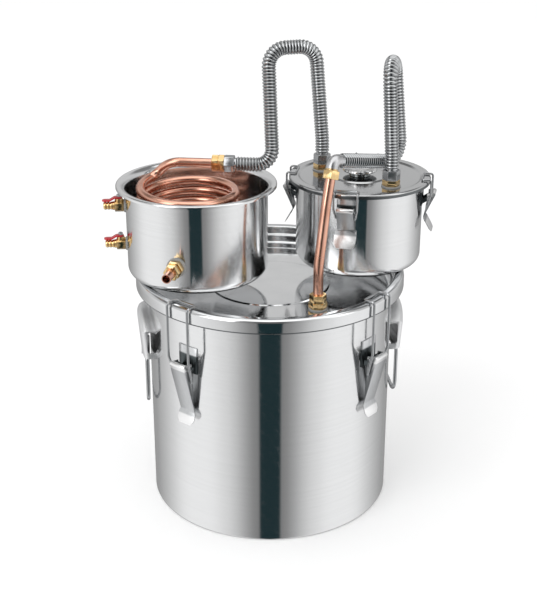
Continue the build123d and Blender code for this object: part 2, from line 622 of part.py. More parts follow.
def hose_from_riser():
    """Centre lines of the elbow on the riser and of the first hose."""
    _, tip, lean = riser_route()
    start = tip + lean * COLLAR_LENGTH
    corner = start + lean * ELBOW_ARM
    rear = INLET + Vector(*LOOP_HEEL, LOOP_FOOT)
    level = (rear - corner).normalized()
    end = corner + level * ELBOW_ARM
    elbow = FilletPolyline(start, corner, end, radius=ELBOW_BEND_R)
    hose = FilletPolyline(
        end, rear, INLET + Vector(*LOOP_REAR, LOOP_TOP), INLET + Vector(*LOOP_LEAN, LOOP_TOP),
        INLET + Vector(0, 0, ARCH_UPRIGHT), INLET + Vector(0, 0, WASHER_THICKNESS + UNION_LENGTH),
        radius=[LOOP_FOOT_R, LOOP_BEND_R, LOOP_BEND_R, ARCH_LEAN_R])
    return elbow, hose, level


def feed_union_place():
    """Middle of the union between the second hose and the coil, looking along the hose."""
    outward = Vector(*FEED_DIRECTION).normalized()
    origin = CONDENSER_C + Vector(*FEED_UNION, CONDENSER_TOP + FEED_RISE)
    return Plane(origin=origin, x_dir=(0, 0, 1), z_dir=outward)


def hose_to_condenser():
    """Centre line of the second hose, from the keg's outlet over the arch to the feed union."""
    union = feed_union_place()
    foot = union.origin + union.z_dir * ARCH_FOOT_REACH
    top = OUTLET.Z + ARCH_TOP
    return FilletPolyline(
        OUTLET + Vector(0, 0, WASHER_THICKNESS + UNION_LENGTH),
        OUTLET + Vector(0, 0, ARCH_UPRIGHT),
        Vector(OUTLET.X + ARCH_RIGHT[0], OUTLET.Y + ARCH_RIGHT[1], top),
        Vector(*ARCH_LEFT, top), foot, union.origin,
        radius=[ARCH_LEAN_R, ARCH_BEND_R, ARCH_BEND_R, ARCH_FOOT_R])


def hose_nuts(hose_a, hose_b):
    """Steel nuts over the cuffs of the hoses, against their unions."""
    places = [(hose_a @ 1, (hose_a % 1) * -1), (hose_b @ 0, hose_b % 0),
              (hose_b @ 1, (hose_b % 1) * -1)]
    return [along(place, direction, hexagon(STEEL_NUT_AF, STEEL_NUT_LENGTH, HOSE_ROOT_R))
            for place, direction in places]


# ================================================================ coil
def coil_route():
    """Feed tube, evenly falling turns on arcs, and the bend out through the wall."""
    union = feed_union_place()
    axis = CONDENSER_C + Vector(*COIL_SHIFT)
    outlet = wall_place(OUTLET_AZIMUTH, OUTLET_HEIGHT)
    sideways = outlet.x_dir.dot(outlet.origin - axis)
    exit_angle = OUTLET_AZIMUTH - 90 + (sideways - OUTLET_TURN) / COIL_R * 180 / pi
    turns = COIL_TURNS + (exit_angle - COIL_START) % 360 / 360
    start_z = CONDENSER_TOP - COIL_DROP
    tilt_fall = COIL_TILT * (sin(radians(COIL_START)) - sin(radians(exit_angle)))
    pitch = (start_z - outlet.origin.Z - tilt_fall) / turns

    def place(turn):
        angle = radians(COIL_START + 360 * turn)
        height = start_z - pitch * turn + COIL_TILT * (sin(angle) - sin(radians(COIL_START)))
        return axis + Vector(COIL_R * cos(angle), COIL_R * sin(angle), height)

    def heading(turn):
        angle = radians(COIL_START + 360 * turn)
        fall = -pitch / (2 * pi) + COIL_TILT * cos(angle)
        return Vector(-COIL_R * sin(angle), COIL_R * cos(angle), fall).normalized()

    feed_start = union.origin - union.z_dir * (UNION_LENGTH - 1)
    feed_end = feed_start - union.z_dir * FEED_LENGTH
    quarters = ceil(4 * turns)
    stops = [turns * k / quarters for k in range(quarters + 1)]
    bend_end = axis + outlet.x_dir * sideways + outlet.z_dir * (COIL_R + OUTLET_TURN)
    bend_end = Vector(bend_end.X, bend_end.Y, outlet.origin.Z)
    edges = [Line(feed_start, feed_end)]
    edges += biarc(feed_end, -union.z_dir, place(0), heading(0))
    for first, last in zip(stops, stops[1:]):
        edges += biarc(place(first), heading(first), place(last), heading(last))
    edges += biarc(place(turns), heading(turns), bend_end, outlet.z_dir)
    edges.append(Line(bend_end, outlet.origin + outlet.z_dir * OUTLET_REACH))
    return Curve() + edges, place, turns, pitch


def coil():
    path, place, turns, pitch = coil_route()
    points = [place(k / 48) for k in range(int(turns * 48) + 1)]
    gap = min((a - b).length for i, a in enumerate(points) for b in points[i + 36:]) - 2 * COIL_TUBE_R
    print(f"coil: {turns:.2f} turns, pitch {pitch:.2f}, least gap to itself {gap:.2f} mm,"
          f" tube {path.length:.0f} mm")
    return swept(path, COIL_TUBE_R, COIL_TUBE_R - TUBE_WALL)


def outlet_fitting():
    """Bulkhead body with a threaded stem inside the pot and a tapered nut outside."""
    body = hexagon(OUTLET_AF, OUTLET_BODY_LENGTH, 0, WASHER_THICKNESS)
    body += disc(SPIGOT_R, SPIGOT_LENGTH + WASHER_THICKNESS, -SPIGOT_LENGTH)
    nut_z = WASHER_THICKNESS + OUTLET_BODY_LENGTH
    body += disc(OUTLET_NUT_AF * 0.42, 1.5, nut_z)
    body += hexagon(OUTLET_NUT_AF, OUTLET_NUT_LENGTH, 0, nut_z + 1.5)
    body -= disc(COIL_TUBE_R, 4 * SPIGOT_LENGTH + 20, -2 * SPIGOT_LENGTH)
    return wall_place(OUTLET_AZIMUTH, OUTLET_HEIGHT) * body


def wall_washer(azimuth, height, hole_r, radius):
    """Sealing ring shaped to the round wall."""
    ring = disc(radius, WASHER_THICKNESS + 2, -2) - disc(hole_r, WASHER_THICKNESS + 2, -2)
    pot = Pos(CONDENSER_C.X, CONDENSER_C.Y, BOILER_HEIGHT) * disc(CONDENSER_R, CONDENSER_HEIGHT)
    return wall_place(azimuth, height) * ring - pot


def wall_locknut(azimuth, height, hole_r, flats):
    """Nut on the stem inside the pot."""
    sagitta = CONDENSER_R - sqrt(CONDENSER_R ** 2 - (flats / sqrt(3)) ** 2)
    face = -POT_WALL - sagitta - SEAT_GAP
    return wall_place(azimuth, height) * hexagon(flats, LOCKNUT_LENGTH, hole_r, face - LOCKNUT_LENGTH)


# ================================================================ ball valves
def valve_body(height):
    """Hexagonal body on the wall, a bonnet for the stem and a hose barb."""
    hex_end = WASHER_THICKNESS + VALVE_HEX_LENGTH
    neck_end = hex_end + VALVE_NECK_LENGTH
    barb = (VALVE_REACH - neck_end) / BARBS
    outline = [(0, neck_end), (BARB_ROOT_R, neck_end)]
    for k in range(BARBS):
        outline += [(BARB_R, neck_end + (k + 0.15) * barb), (BARB_R, neck_end + (k + 0.35) * barb),
                    (BARB_ROOT_R, neck_end + (k + 1) * barb)]
    outline.append((0, VALVE_REACH))
    body = Rot(0, 0, 30) * hexagon(VALVE_AF, VALVE_HEX_LENGTH, 0, WASHER_THICKNESS)
    body += disc(VALVE_SPIGOT_R, SPIGOT_LENGTH + WASHER_THICKNESS, -SPIGOT_LENGTH)
    body += disc(VALVE_NECK_R, VALVE_NECK_LENGTH, hex_end)
    body += turned(outline)
    body += valve_up(BONNET_R, VALVE_AF / 4, VALVE_AF / 2 + BONNET_HEIGHT)
    body -= disc(VALVE_BORE_R, 2 * VALVE_REACH + 2 * SPIGOT_LENGTH, -2 * SPIGOT_LENGTH)
    body -= valve_up(STEM_R + RUN_GAP, VALVE_AF / 4, VALVE_AF + BONNET_HEIGHT)
    return wall_place(VALVE_AZIMUTH, height) * body


def valve_up(radius, start, end):
    """Upright cylinder on the valve's stem axis, in the wall's frame, where Y is up."""
    return Pos(0, start, WASHER_THICKNESS + STEM_OFFSET) * Rot(-90, 0, 0) * disc(radius, end - start)


def valve_lever(height):
    """Flat handle bent down towards the barb, rounded at both ends."""
    level = VALVE_AF / 2 + BONNET_HEIGHT + SEAT_GAP
    half = VALVE_LEVER_WIDTH / 2
    line = FilletPolyline(
        (-half, level), (half + 1, level), (half + 7, level - VALVE_LEVER_DROP),
        (VALVE_LEVER_LENGTH, level - VALVE_LEVER_DROP), radius=[4.0, 4.0])
    side = make_face(offset(line, amount=LEVER_PLATE, side=Side.LEFT))
    plate = extrude(Plane(origin=(half, 0, 0), x_dir=(0, 0, 1), z_dir=(-1, 0, 0)) * side,
                    amount=2 * half)
    plan = Pos(0, 0, (VALVE_LEVER_LENGTH - half) / 2) * Rot(90, 0, 0) * extrude(
        SlotOverall(VALVE_LEVER_LENGTH + half, 2 * half, rotation=90), 60, both=True)
    plate = Pos(0, 0, WASHER_THICKNESS + STEM_OFFSET) * (plate & plan)
    plate -= valve_up(STEM_R, 0, 3 * VALVE_AF)
    return wall_place(VALVE_AZIMUTH, height) * plate


def valve_stem(height):
    """Stem from the valve up through the handle, with its nut."""
    lever_top = VALVE_AF / 2 + BONNET_HEIGHT + SEAT_GAP + LEVER_PLATE
    stem = valve_up(STEM_R, VALVE_AF / 4 + SEAT_GAP, lever_top + STEM_NUT_LENGTH + 0.8)
    nut = Pos(0, lever_top, WASHER_THICKNESS + STEM_OFFSET) * Rot(-90, 0, 0) * hexagon(
        STEM_NUT_AF, STEM_NUT_LENGTH)
    return wall_place(VALVE_AZIMUTH, height) * (stem + nut)


# ================================================================ all nodes
def build():
    nodes = {
        "boiler_pot": [boiler_pot()],
        "boiler_gasket": [boiler_gasket()],
        "boiler_lid": [boiler_lid()],
        "condenser_pot": [condenser_pot()],
        "keg_pot": [keg_pot()],
        "keg_gasket": [keg_gasket()],
        "keg_lid": [keg_lid()],
        "keg_knob": [keg_knob()],
        "keg_knob_screw": [knob_screw()],
    }
    for name, clamp in CLAMPS.items():
        pot = POTS[name]
        parts = {"base": clamp_base(clamp, pot), "pin": clamp_pin(clamp),
                 "lever": clamp_lever(clamp), "bail": clamp_bail(clamp, pot)}
        for group in ("base", "pin"):
            nodes[f"{name}_clamp_{group}s"] = [
                carried(parts[group], pot, azimuth) for azimuth in clamp["azimuths"]]
        for number, azimuth in enumerate(clamp["azimuths"], start=1):
            for piece in ("lever", "bail"):
                nodes[f"{name}_{piece}_{number}"] = [carried(parts[piece], pot, azimuth)]

    for side, azimuth in HANDLE_AZIMUTHS.items():
        nodes[f"handle_bracket_{side}"] = [handle_bracket(azimuth)]
        nodes[f"handle_ring_{side}"] = [handle_ring(azimuth)]

    riser, tip, lean = riser_route()
    elbow, hose_a, level = hose_from_riser()
    hose_b = hose_to_condenser()
    nodes["riser_tube"] = [swept(riser, RISER_TUBE_R, RISER_TUBE_R - TUBE_WALL)]
    nodes["riser_union"] = [lid_union(RISER_FOOT, RISER_UNION_AF)]
    nodes["riser_nuts"] = [
        along(riser @ 0, (0, 0, 1), hexagon(RISER_NUT_AF, RISER_NUT_LENGTH, RISER_TUBE_R)),
        along(tip, -lean, hexagon(RISER_NUT_AF, RISER_NUT_LENGTH, RISER_TUBE_R))]
    nodes["riser_collar"] = [along(tip, lean, disc(COLLAR_R, COLLAR_LENGTH)
                                   - disc(RISER_TUBE_R - TUBE_WALL, COLLAR_LENGTH))]
    nodes["riser_elbow"] = [swept(elbow, ELBOW_R, HOSE_BORE_R)]
    nodes["hose_riser_to_keg"] = [ribbed_hose(hose_a, Vector(0.57, -0.82, 0))]
    nodes["hose_keg_to_condenser"] = [ribbed_hose(hose_b, Vector(0.3, -0.95, 0))]
    nodes["hose_nuts"] = hose_nuts(hose_a, hose_b)
    nodes["keg_unions"] = [lid_union(INLET, UNION_AF), lid_union(OUTLET, UNION_AF)]
    nodes["port_washers"] = [lid_washer(port) for port in (RISER_FOOT, INLET, OUTLET)]
    nodes["lid_locknuts"] = [lid_locknut(RISER_FOOT, LID_WALL), lid_locknut(INLET, POT_WALL),
                             lid_locknut(OUTLET, POT_WALL)]
    dip = Pos(INLET.X, INLET.Y, BOILER_HEIGHT + 15.0) * (
        disc(SPIGOT_BORE_R, KEG_HEIGHT - 15.0) - disc(SPIGOT_BORE_R - TUBE_WALL, KEG_HEIGHT))
    nodes["keg_dip_tube"] = [dip]

    union = feed_union_place()
    feed = hexagon(UNION_AF, UNION_LENGTH, 0, -UNION_LENGTH)
    feed += hexagon(OUTLET_AF, FEED_NUT_LENGTH, 0, -UNION_LENGTH - FEED_NUT_LENGTH)
    feed -= disc(COIL_TUBE_R, 40.0, 1 - UNION_LENGTH - 40.0) + disc(SPIGOT_BORE_R, 40.0, -40.0)
    nodes["feed_union"] = [union * feed]
    nodes["condenser_coil"] = [coil()]
    nodes["outlet_fitting"] = [outlet_fitting()]
    holes = [(OUTLET_AZIMUTH, OUTLET_HEIGHT, SPIGOT_R, WASHER_R, OUTLET_AF)] + [
        (VALVE_AZIMUTH, height, VALVE_SPIGOT_R, VALVE_AF * 0.62, VALVE_AF)
        for height in VALVE_HEIGHTS.values()]
    nodes["wall_washers"] = [wall_washer(*hole[:4]) for hole in holes]
    nodes["wall_locknuts"] = [wall_locknut(hole[0], hole[1], hole[2], hole[4]) for hole in holes]
    for name, height in VALVE_HEIGHTS.items():
        nodes[f"valve_body_{name}"] = [valve_body(height)]
        nodes[f"valve_lever_{name}"] = [valve_lever(height)]
        nodes[f"valve_stem_{name}"] = [valve_stem(height)]
    return nodes


def write(nodes):
    """One file for each node, holding its separate solids."""
    os.makedirs("parts", exist_ok=True)
    for name, shapes in nodes.items():
        solids = [solid for shape in shapes for solid in shape.solids()]
        export_step(Compound(children=solids), f"parts/{name}.step")
    print(f"{len(nodes)} nodes written")


if __name__ == "__main__":
    write(build())
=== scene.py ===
# %% [markdown]
# # A three-pot still in Blender
# The object is a stainless boiler with a clamped lid, a small clamped keg and an open pot with a
# copper coil. Its construction is ready as a fixed frame in metres, and this script gives it the
# surfaces, the metals and the light of the photograph. Big turned shells, tubes and hoses are
# made anew as smooth numpy surfaces, and small machined pieces keep their shape and get worn
# edges.

# %% Load the frame
from math import atan2, ceil, cos, pi, radians, sin, sqrt

import bmesh
import bpy
import numpy as np
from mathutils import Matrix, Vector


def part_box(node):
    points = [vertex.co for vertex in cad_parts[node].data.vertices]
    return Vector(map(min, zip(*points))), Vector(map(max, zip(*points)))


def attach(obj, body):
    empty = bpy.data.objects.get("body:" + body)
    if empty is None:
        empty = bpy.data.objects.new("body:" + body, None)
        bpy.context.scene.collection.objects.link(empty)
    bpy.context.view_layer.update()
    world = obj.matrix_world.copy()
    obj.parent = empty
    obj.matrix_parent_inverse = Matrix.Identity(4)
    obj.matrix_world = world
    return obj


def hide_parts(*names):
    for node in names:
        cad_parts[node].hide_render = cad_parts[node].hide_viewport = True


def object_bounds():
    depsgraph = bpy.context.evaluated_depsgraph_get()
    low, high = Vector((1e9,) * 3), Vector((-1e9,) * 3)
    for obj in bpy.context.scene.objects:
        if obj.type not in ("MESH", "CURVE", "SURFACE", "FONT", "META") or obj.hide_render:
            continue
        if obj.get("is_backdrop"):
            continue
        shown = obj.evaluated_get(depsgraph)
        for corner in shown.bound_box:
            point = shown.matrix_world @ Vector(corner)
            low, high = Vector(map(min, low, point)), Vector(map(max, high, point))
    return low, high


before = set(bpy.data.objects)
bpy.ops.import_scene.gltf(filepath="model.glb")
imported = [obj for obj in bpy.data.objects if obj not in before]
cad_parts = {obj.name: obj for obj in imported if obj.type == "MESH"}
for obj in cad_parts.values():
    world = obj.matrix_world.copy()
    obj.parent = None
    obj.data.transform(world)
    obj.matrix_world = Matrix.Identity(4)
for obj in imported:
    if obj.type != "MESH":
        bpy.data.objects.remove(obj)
cad_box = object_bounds()
MM = 0.001

# %% [markdown]
# ## The view
# A camera that is fitted to the photograph needs only its place, its tilt and its focal length.
# The focal length was found in pixels of the picture's longer side, and a film width of 36 mm
# turns it into a lens.

# %% Camera
PICTURE = (537, 595)
FOCAL_PIXELS = 1197.17
FILM = 36.0
PITCH = 22.742
YAW = -0.176
EYE = (-5.96 * MM, -1374.15 * MM, 832.1 * MM)

camera_data = bpy.data.cameras.new("camera")
camera_data.sensor_width = FILM
camera_data.lens = FOCAL_PIXELS * FILM / max(PICTURE)
camera_data.clip_end = 30.0
camera = bpy.data.objects.new("camera", camera_data)
camera.location = EYE
camera.rotation_euler = (radians(90 - PITCH), 0, radians(YAW))
bpy.context.scene.collection.objects.link(camera)
bpy.context.scene.camera = camera
bpy.context.scene.view_settings.view_transform = "Standard"
print("lens", round(camera_data.lens, 2), "mm")

# %% [markdown]
# ## Small tools for materials
# A node tree is easier to read when each node is made by one short call. `put` adds a node and
# sets its inputs by name, or by number as i0, i1 and so on. An input that is given as a socket is
# linked to it.

# %% Node helpers
def put(tree, kind, settings=None, **inputs):
    """Add a node, set its properties and its inputs, and return it."""
    node = tree.nodes.new(kind)
    for name, value in (settings or {}).items():
        setattr(node, name, value)
    for name, value in inputs.items():
        key = int(name[1:]) if name[1:].isdigit() else name.replace("_", " ")
        socket = node.inputs[key]
        if isinstance(value, bpy.types.NodeSocket):
            tree.links.new(value, socket)
        else:
            socket.default_value = value
    return node


def math(tree, operation, first, second=0.0):
    """One Math node as a function of two values or sockets."""
    return put(tree, "ShaderNodeMath", {"operation": operation}, i0=first, i1=second).outputs[0]


def mixed(tree, share, first, second):
    """Blend of two colours by a share from 0 to 1."""
    return put(tree, "ShaderNodeMix", {"data_type": "RGBA"}, i0=share, i6=first,
               i7=second).outputs[2]


def ramp(tree, value, stops, dark=None):
    """Grey ramp through (position, level) stops. Levels under 0.1 take the colour dark."""
    node = put(tree, "ShaderNodeValToRGB", Fac=value)
    elements = node.color_ramp.elements
    while len(elements) < len(stops):
        elements.new(0.5)
    for element, (position, level) in zip(elements, stops):
        element.position = position
        element.color = (*dark, 1) if dark and level < 0.1 else (level, level, level, 1)
    return node.outputs[0]


def bare_material(name):
    """New material, its node tree and its Principled shader."""
    finish = bpy.data.materials.new(name)
    finish.use_nodes = True
    return finish, finish.node_tree, finish.node_tree.nodes["Principled BSDF"]


def new_group(name, inputs, outputs):
    """Empty shader node group with named sockets of the kinds given."""
    group = bpy.data.node_groups.new(name, "ShaderNodeTree")
    for label, kind in inputs.items():
        group.interface.new_socket(name=label, in_out="INPUT", socket_type="NodeSocket" + kind)
    for label, kind in outputs.items():
        group.interface.new_socket(name=label, in_out="OUTPUT", socket_type="NodeSocket" + kind)
    return group, group.nodes.new("NodeGroupInput"), group.nodes.new("NodeGroupOutput")


# %% [markdown]
# ## Three effects that the metals share
# Brushing is a set of fine parallel lines, so its height is noise that is stretched along the
# wall and squeezed across it. Handling leaves soft cloudy patches in the gloss. Edges of machined
# pieces are rubbed bright, which the mesh tells by its pointiness. Each effect is a node group,
# made once, and each material sets how strong it is.

# %% Brushing, handling marks and rubbed edges
def brushing_group():
    """Height = noise of the place (x, y, z), multiplied part by part by Stretch."""
    group, source, sink = new_group("brushing", {"Stretch": "Vector"}, {"Height": "Float"})
    place = put(group, "ShaderNodeTexCoord").outputs["Object"]
    lines = put(group, "ShaderNodeVectorMath", {"operation": "MULTIPLY"}, i0=place,
                i1=source.outputs["Stretch"]).outputs[0]
    fine = put(group, "ShaderNodeTexNoise", Vector=lines, Scale=1.0, Detail=3.0).outputs["Fac"]
    group.links.new(fine, sink.inputs["Height"])
    return group


def handling_group():
    """Roughness = the base one, plus Patches times a soft noise from -0.5 to 0.5, plus Scratches
    on the crests of a bent wave. Mask = the soft noise from 0 to 1."""
    group, source, sink = new_group(
        "handling", {"Roughness": "Float", "Patches": "Float", "Scratches": "Float"},
        {"Roughness": "Float", "Mask": "Float"})
    place = put(group, "ShaderNodeTexCoord").outputs["Object"]
    patch = put(group, "ShaderNodeTexNoise", Vector=place, Scale=26.0, Detail=4.0).outputs["Fac"]
    wave = put(group, "ShaderNodeTexWave", {"bands_direction": "DIAGONAL"}, Vector=place,
               Scale=35.0, Distortion=14.0, Detail=3.0).outputs["Fac"]
    hairline = math(group, "GREATER_THAN", wave, 0.985)
    soft = math(group, "MULTIPLY", math(group, "SUBTRACT", patch, 0.5), source.outputs["Patches"])
    scratched = math(group, "MULTIPLY", hairline, source.outputs["Scratches"])
    total = math(group, "ADD", source.outputs["Roughness"], soft)
    total = math(group, "ADD", total, scratched)
    group.links.new(total, sink.inputs["Roughness"])
    group.links.new(patch, sink.inputs["Mask"])
    return group


def rubbed_group():
    """Mask = (pointiness - 0.5) * Width * (noise + 0.4), kept between 0 and 1."""
    group, source, sink = new_group("rubbed_edge", {"Width": "Float"}, {"Mask": "Float"})
    point = put(group, "ShaderNodeNewGeometry").outputs["Pointiness"]
    place = put(group, "ShaderNodeTexCoord").outputs["Object"]
    grit = put(group, "ShaderNodeTexNoise", Vector=place, Scale=420.0, Detail=2.0).outputs["Fac"]
    raised = math(group, "MULTIPLY", math(group, "SUBTRACT", point, 0.5), source.outputs["Width"])
    mask = math(group, "MULTIPLY", raised, math(group, "ADD", grit, 0.4))
    mask = put(group, "ShaderNodeClamp", Value=mask).outputs[0]
    group.links.new(mask, sink.inputs["Mask"])
    return group


BRUSHING = brushing_group()
HANDLING = handling_group()
RUBBED = rubbed_group()
print("node groups", len(bpy.data.node_groups))


# %% [markdown]
# ## The metals and coatings
# Metal has almost no colour of its own in shade: what shows is the surroundings, tinted by the
# base colour and blurred by the roughness. So each metal gets its tint, a roughness that varies
# a little, and a fine height pattern.

# %% Metal maker
SCRATCHES = 0.06            # how much rougher a hairline scratch is


def metal(name, tint, roughness, patches=0.04, stretch=None, depth=0.0, height_scale=1.0,
          streak=0.0, dull=None, dull_share=0.0, edge=0.0, bright=None, grain=0.0, valley_shade=None):
    """Material of bare metal. Its colour is tint, clouded by dull, rubbed bright at edges, darker
    by streak along the brushing, and valley_shade, a painted shade, where the mesh's own mask
    "valley_shade_mask" is 1. Its height is the brushing, at depth times height_scale
    millimetres, and grain stretches its highlights."""
    finish, tree, shader = bare_material(name)
    shader.inputs["Metallic"].default_value = 1.0
    gloss = put(tree, "ShaderNodeGroup", {"node_tree": HANDLING}, Roughness=roughness,
                Patches=patches, Scratches=SCRATCHES)
    tree.links.new(gloss.outputs["Roughness"], shader.inputs["Roughness"])
    colour = (*tint, 1)
    if dull:
        cloud = ramp(tree, gloss.outputs["Mask"], [(0.38, 0.0), (0.68, dull_share)])
        colour = mixed(tree, cloud, colour, (*dull, 1))
    if edge:
        rub = put(tree, "ShaderNodeGroup", {"node_tree": RUBBED}, Width=edge).outputs["Mask"]
        colour = mixed(tree, rub, colour, (*bright, 1))
    lines = None
    if stretch:
        lines = put(tree, "ShaderNodeGroup", {"node_tree": BRUSHING}, Stretch=stretch)
    if streak:
        darker = tuple(part * (1 - streak) for part in tint) + (1,)
        shade = ramp(tree, lines.outputs["Height"], [(0.36, 0.0), (0.66, 1.0)])
        colour = mixed(tree, shade, colour, darker)
    if valley_shade:
        valley_shade_mask = put(tree, "ShaderNodeAttribute", {"attribute_name": "valley_shade_mask"}).outputs["Fac"]
        colour = mixed(tree, valley_shade_mask, colour, (*valley_shade, 1))
    if not isinstance(colour, tuple):
        tree.links.new(colour, shader.inputs["Base Color"])
    else:
        shader.inputs["Base Color"].default_value = colour
    if grain:
        shader.inputs["Anisotropic"].default_value = grain
        shader.inputs["Anisotropic Rotation"].default_value = 0.25
        round_it = put(tree, "ShaderNodeTangent", {"direction_type": "RADIAL", "axis": "Z"})
        tree.links.new(round_it.outputs[0], shader.inputs["Tangent"])
    if lines:
        bump = put(tree, "ShaderNodeBump", Height=lines.outputs["Height"], Strength=depth,
                   Distance=height_scale * MM)
        tree.links.new(bump.outputs[0], shader.inputs["Normal"])
    return finish


def coating(name, colour, shade, roughness, coat=0.0):
    """Opaque coating or rubber whose colour drifts a little between two shades."""
    finish, tree, shader = bare_material(name)
    gloss = put(tree, "ShaderNodeGroup", {"node_tree": HANDLING}, Roughness=roughness,
                Patches=0.15, Scratches=0.05)
    tree.links.new(gloss.outputs["Roughness"], shader.inputs["Roughness"])
    cloud = ramp(tree, gloss.outputs["Mask"], [(0.3, 0.0), (0.7, 1.0)])
    tree.links.new(mixed(tree, cloud, (*colour, 1), (*shade, 1)), shader.inputs["Base Color"])
    shader.inputs["Coat Weight"].default_value = coat
    return finish


# %% [markdown]
# The object has many kinds of steel. The walls are brushed round the pot, the boiler's lid is
# polished, with its ring greyer by painted shade, the keg's lid is darker by painted shade, both
# lids' turned-down hems are dark with painted shadow, the wires and nuts are drawn and plated, and
# the hose has painted shade in its valleys. Copper and brass have stains that are darker than the
# metal. Every height pattern has a stretch, in noise cells to a metre along x, y and z.

# %% The finishes of this still
AROUND = (5.0, 5.0, 620.0)              # lines round an upright wall
EVEN = (240.0, 240.0, 240.0)            # fine dimples without a direction
WALL = metal("brushed_wall", (0.80, 0.805, 0.81), 0.125, patches=0.03, stretch=AROUND, depth=0.06,
             height_scale=0.05, grain=0.97, streak=0.025)
POLISHED = metal("polished_lid", (0.80, 0.805, 0.81), 0.07, patches=0.05, stretch=EVEN,
                 depth=0.05, height_scale=0.1, dull=(0.70, 0.71, 0.72), dull_share=0.5)
SATIN = metal("satin_steel", (0.86, 0.865, 0.87), 0.48, patches=0.06, stretch=EVEN,
              depth=0.03, height_scale=0.1, edge=2.0, bright=(0.9, 0.9, 0.9))
# painted shadow: a dark copy of the steel for the turned-down hems under the rims
PAINTED_SHADOW_HEM = metal("painted_shadow_hem", (0.15, 0.16, 0.165), 0.30, patches=0.15)
# painted shade: a greyer copy of the polished steel for the top of the boiler's lid ring
PAINTED_SHADE_RING = metal("painted_shade_ring", (0.62, 0.63, 0.64), 0.08, patches=0.05, stretch=EVEN,
             depth=0.04, height_scale=0.1)
WIRE = metal("drawn_wire", (0.50, 0.51, 0.52), 0.16, patches=0.1, dull=(0.40, 0.41, 0.42),
             dull_share=0.5)
# painted shade: valley_shade darkens the hose in its valleys and bore
HOSE = metal("hose_steel", (0.56, 0.57, 0.58), 0.09, patches=0.06, valley_shade=(0.20, 0.21, 0.21))
CUFF_STEEL = metal("cuff_steel", (0.62, 0.62, 0.63), 0.30, patches=0.12, stretch=EVEN,
                   depth=0.1, height_scale=0.2)
NUT_STEEL = metal("nut_steel", (0.38, 0.39, 0.40), 0.28, patches=0.20, stretch=EVEN,
                  depth=0.2, height_scale=0.3, edge=3.0, bright=(0.85, 0.85, 0.86))
COPPER = metal("copper", (0.86, 0.48, 0.36), 0.21, patches=0.10, dull=(0.55, 0.25, 0.16),
               dull_share=0.6)
BRASS = metal("brass", (0.78, 0.50, 0.20), 0.15, patches=0.15, dull=(0.40, 0.23, 0.07),
              dull_share=0.7, stretch=EVEN, depth=0.25, height_scale=0.2, edge=9.0,
              bright=(0.98, 0.84, 0.54))
# painted shade: the keg's lid is a darker copy of the polished steel
SHADED_LID_PLATE = metal("shaded_lid_plate", (0.58, 0.585, 0.59), 0.12, patches=0.05, stretch=EVEN,
                  depth=0.05, height_scale=0.1, grain=0.5)
# its colour is replaced by painted reflection rays and painted shade, see rays below
SPUN = metal("spun_knob", (0.80, 0.80, 0.81), 0.16, patches=0.05, grain=0.9)
RED = coating("red_coating", (0.55, 0.012, 0.022), (0.40, 0.008, 0.014), 0.32, coat=0.4)
SILICONE = coating("silicone", (0.34, 0.34, 0.33), (0.26, 0.26, 0.25), 0.5)
SLOTS = {"brushed_steel": [WALL], "polished_steel": [POLISHED, PAINTED_SHADE_RING, PAINTED_SHADOW_HEM, SHADED_LID_PLATE, SPUN],
         "plated_steel": [SATIN, WIRE, NUT_STEEL], "hose_steel": [HOSE, CUFF_STEEL],
         "copper": [COPPER], "brass": [BRASS], "red_coating": [RED], "seal": [SILICONE]}
SLOT_OF = {finish: slot for slot, finishes in SLOTS.items() for finish in finishes}
print("materials", len(bpy.data.materials))


# %% [markdown]
# ## A spun top
# A knob that is polished on a spindle shows rays of reflection from its centre, light and dark by
# turns, and here they are painted reflections in its colour. The rays are noise read along the
# angle round the knob's axis, so they are a function of atan2(y, x) alone. Its flank under the rim
# is painted dark, as painted shade.

# %% Painted reflection rays and painted shade on the knob
# painted shade of the knob's flank under the rim
SHADE_UNDER_RIM = (0.16, 0.17, 0.17, 1)


def rays(finish, centre, top, drop):
    """Colour = painted reflection rays, noise of the angle atan2(y - cy, x - cx), down to drop
    under the height top, and painted shade lower down."""
    tree = finish.node_tree
    shader = tree.nodes["Principled BSDF"]
    place = put(tree, "ShaderNodeTexCoord").outputs["Object"]
    spot = put(tree, "ShaderNodeSeparateXYZ", Vector=place).outputs
    turn = math(tree, "ARCTAN2", math(tree, "SUBTRACT", spot[1], centre[1]),
                math(tree, "SUBTRACT", spot[0], centre[0]))
    wave = put(tree, "ShaderNodeTexNoise", {"noise_dimensions": "1D"}, W=turn, Scale=3.2,
               Detail=3.0).outputs["Fac"]
    # painted reflection: the rays, light and dark by angle
    light = ramp(tree, wave, [(0.40, 0.22), (0.50, 0.70), (0.58, 1.0)])
    # painted shade on the flank below the rays
    high = put(tree, "ShaderNodeMapRange", Value=spot[2], From_Min=top - drop - 0.6 * MM,
               From_Max=top - drop).outputs[0]
    tree.links.new(mixed(tree, high, SHADE_UNDER_RIM, light), shader.inputs["Base Color"])


# %% [markdown]
# ## Surfaces from grids
# A tube, a hose and a turned pot are all the same thing to a mesh: a grid of points with rows
# and columns, whose edges are joined to each other. The points come from a formula as one
# array, and the faces are the cells of the grid.

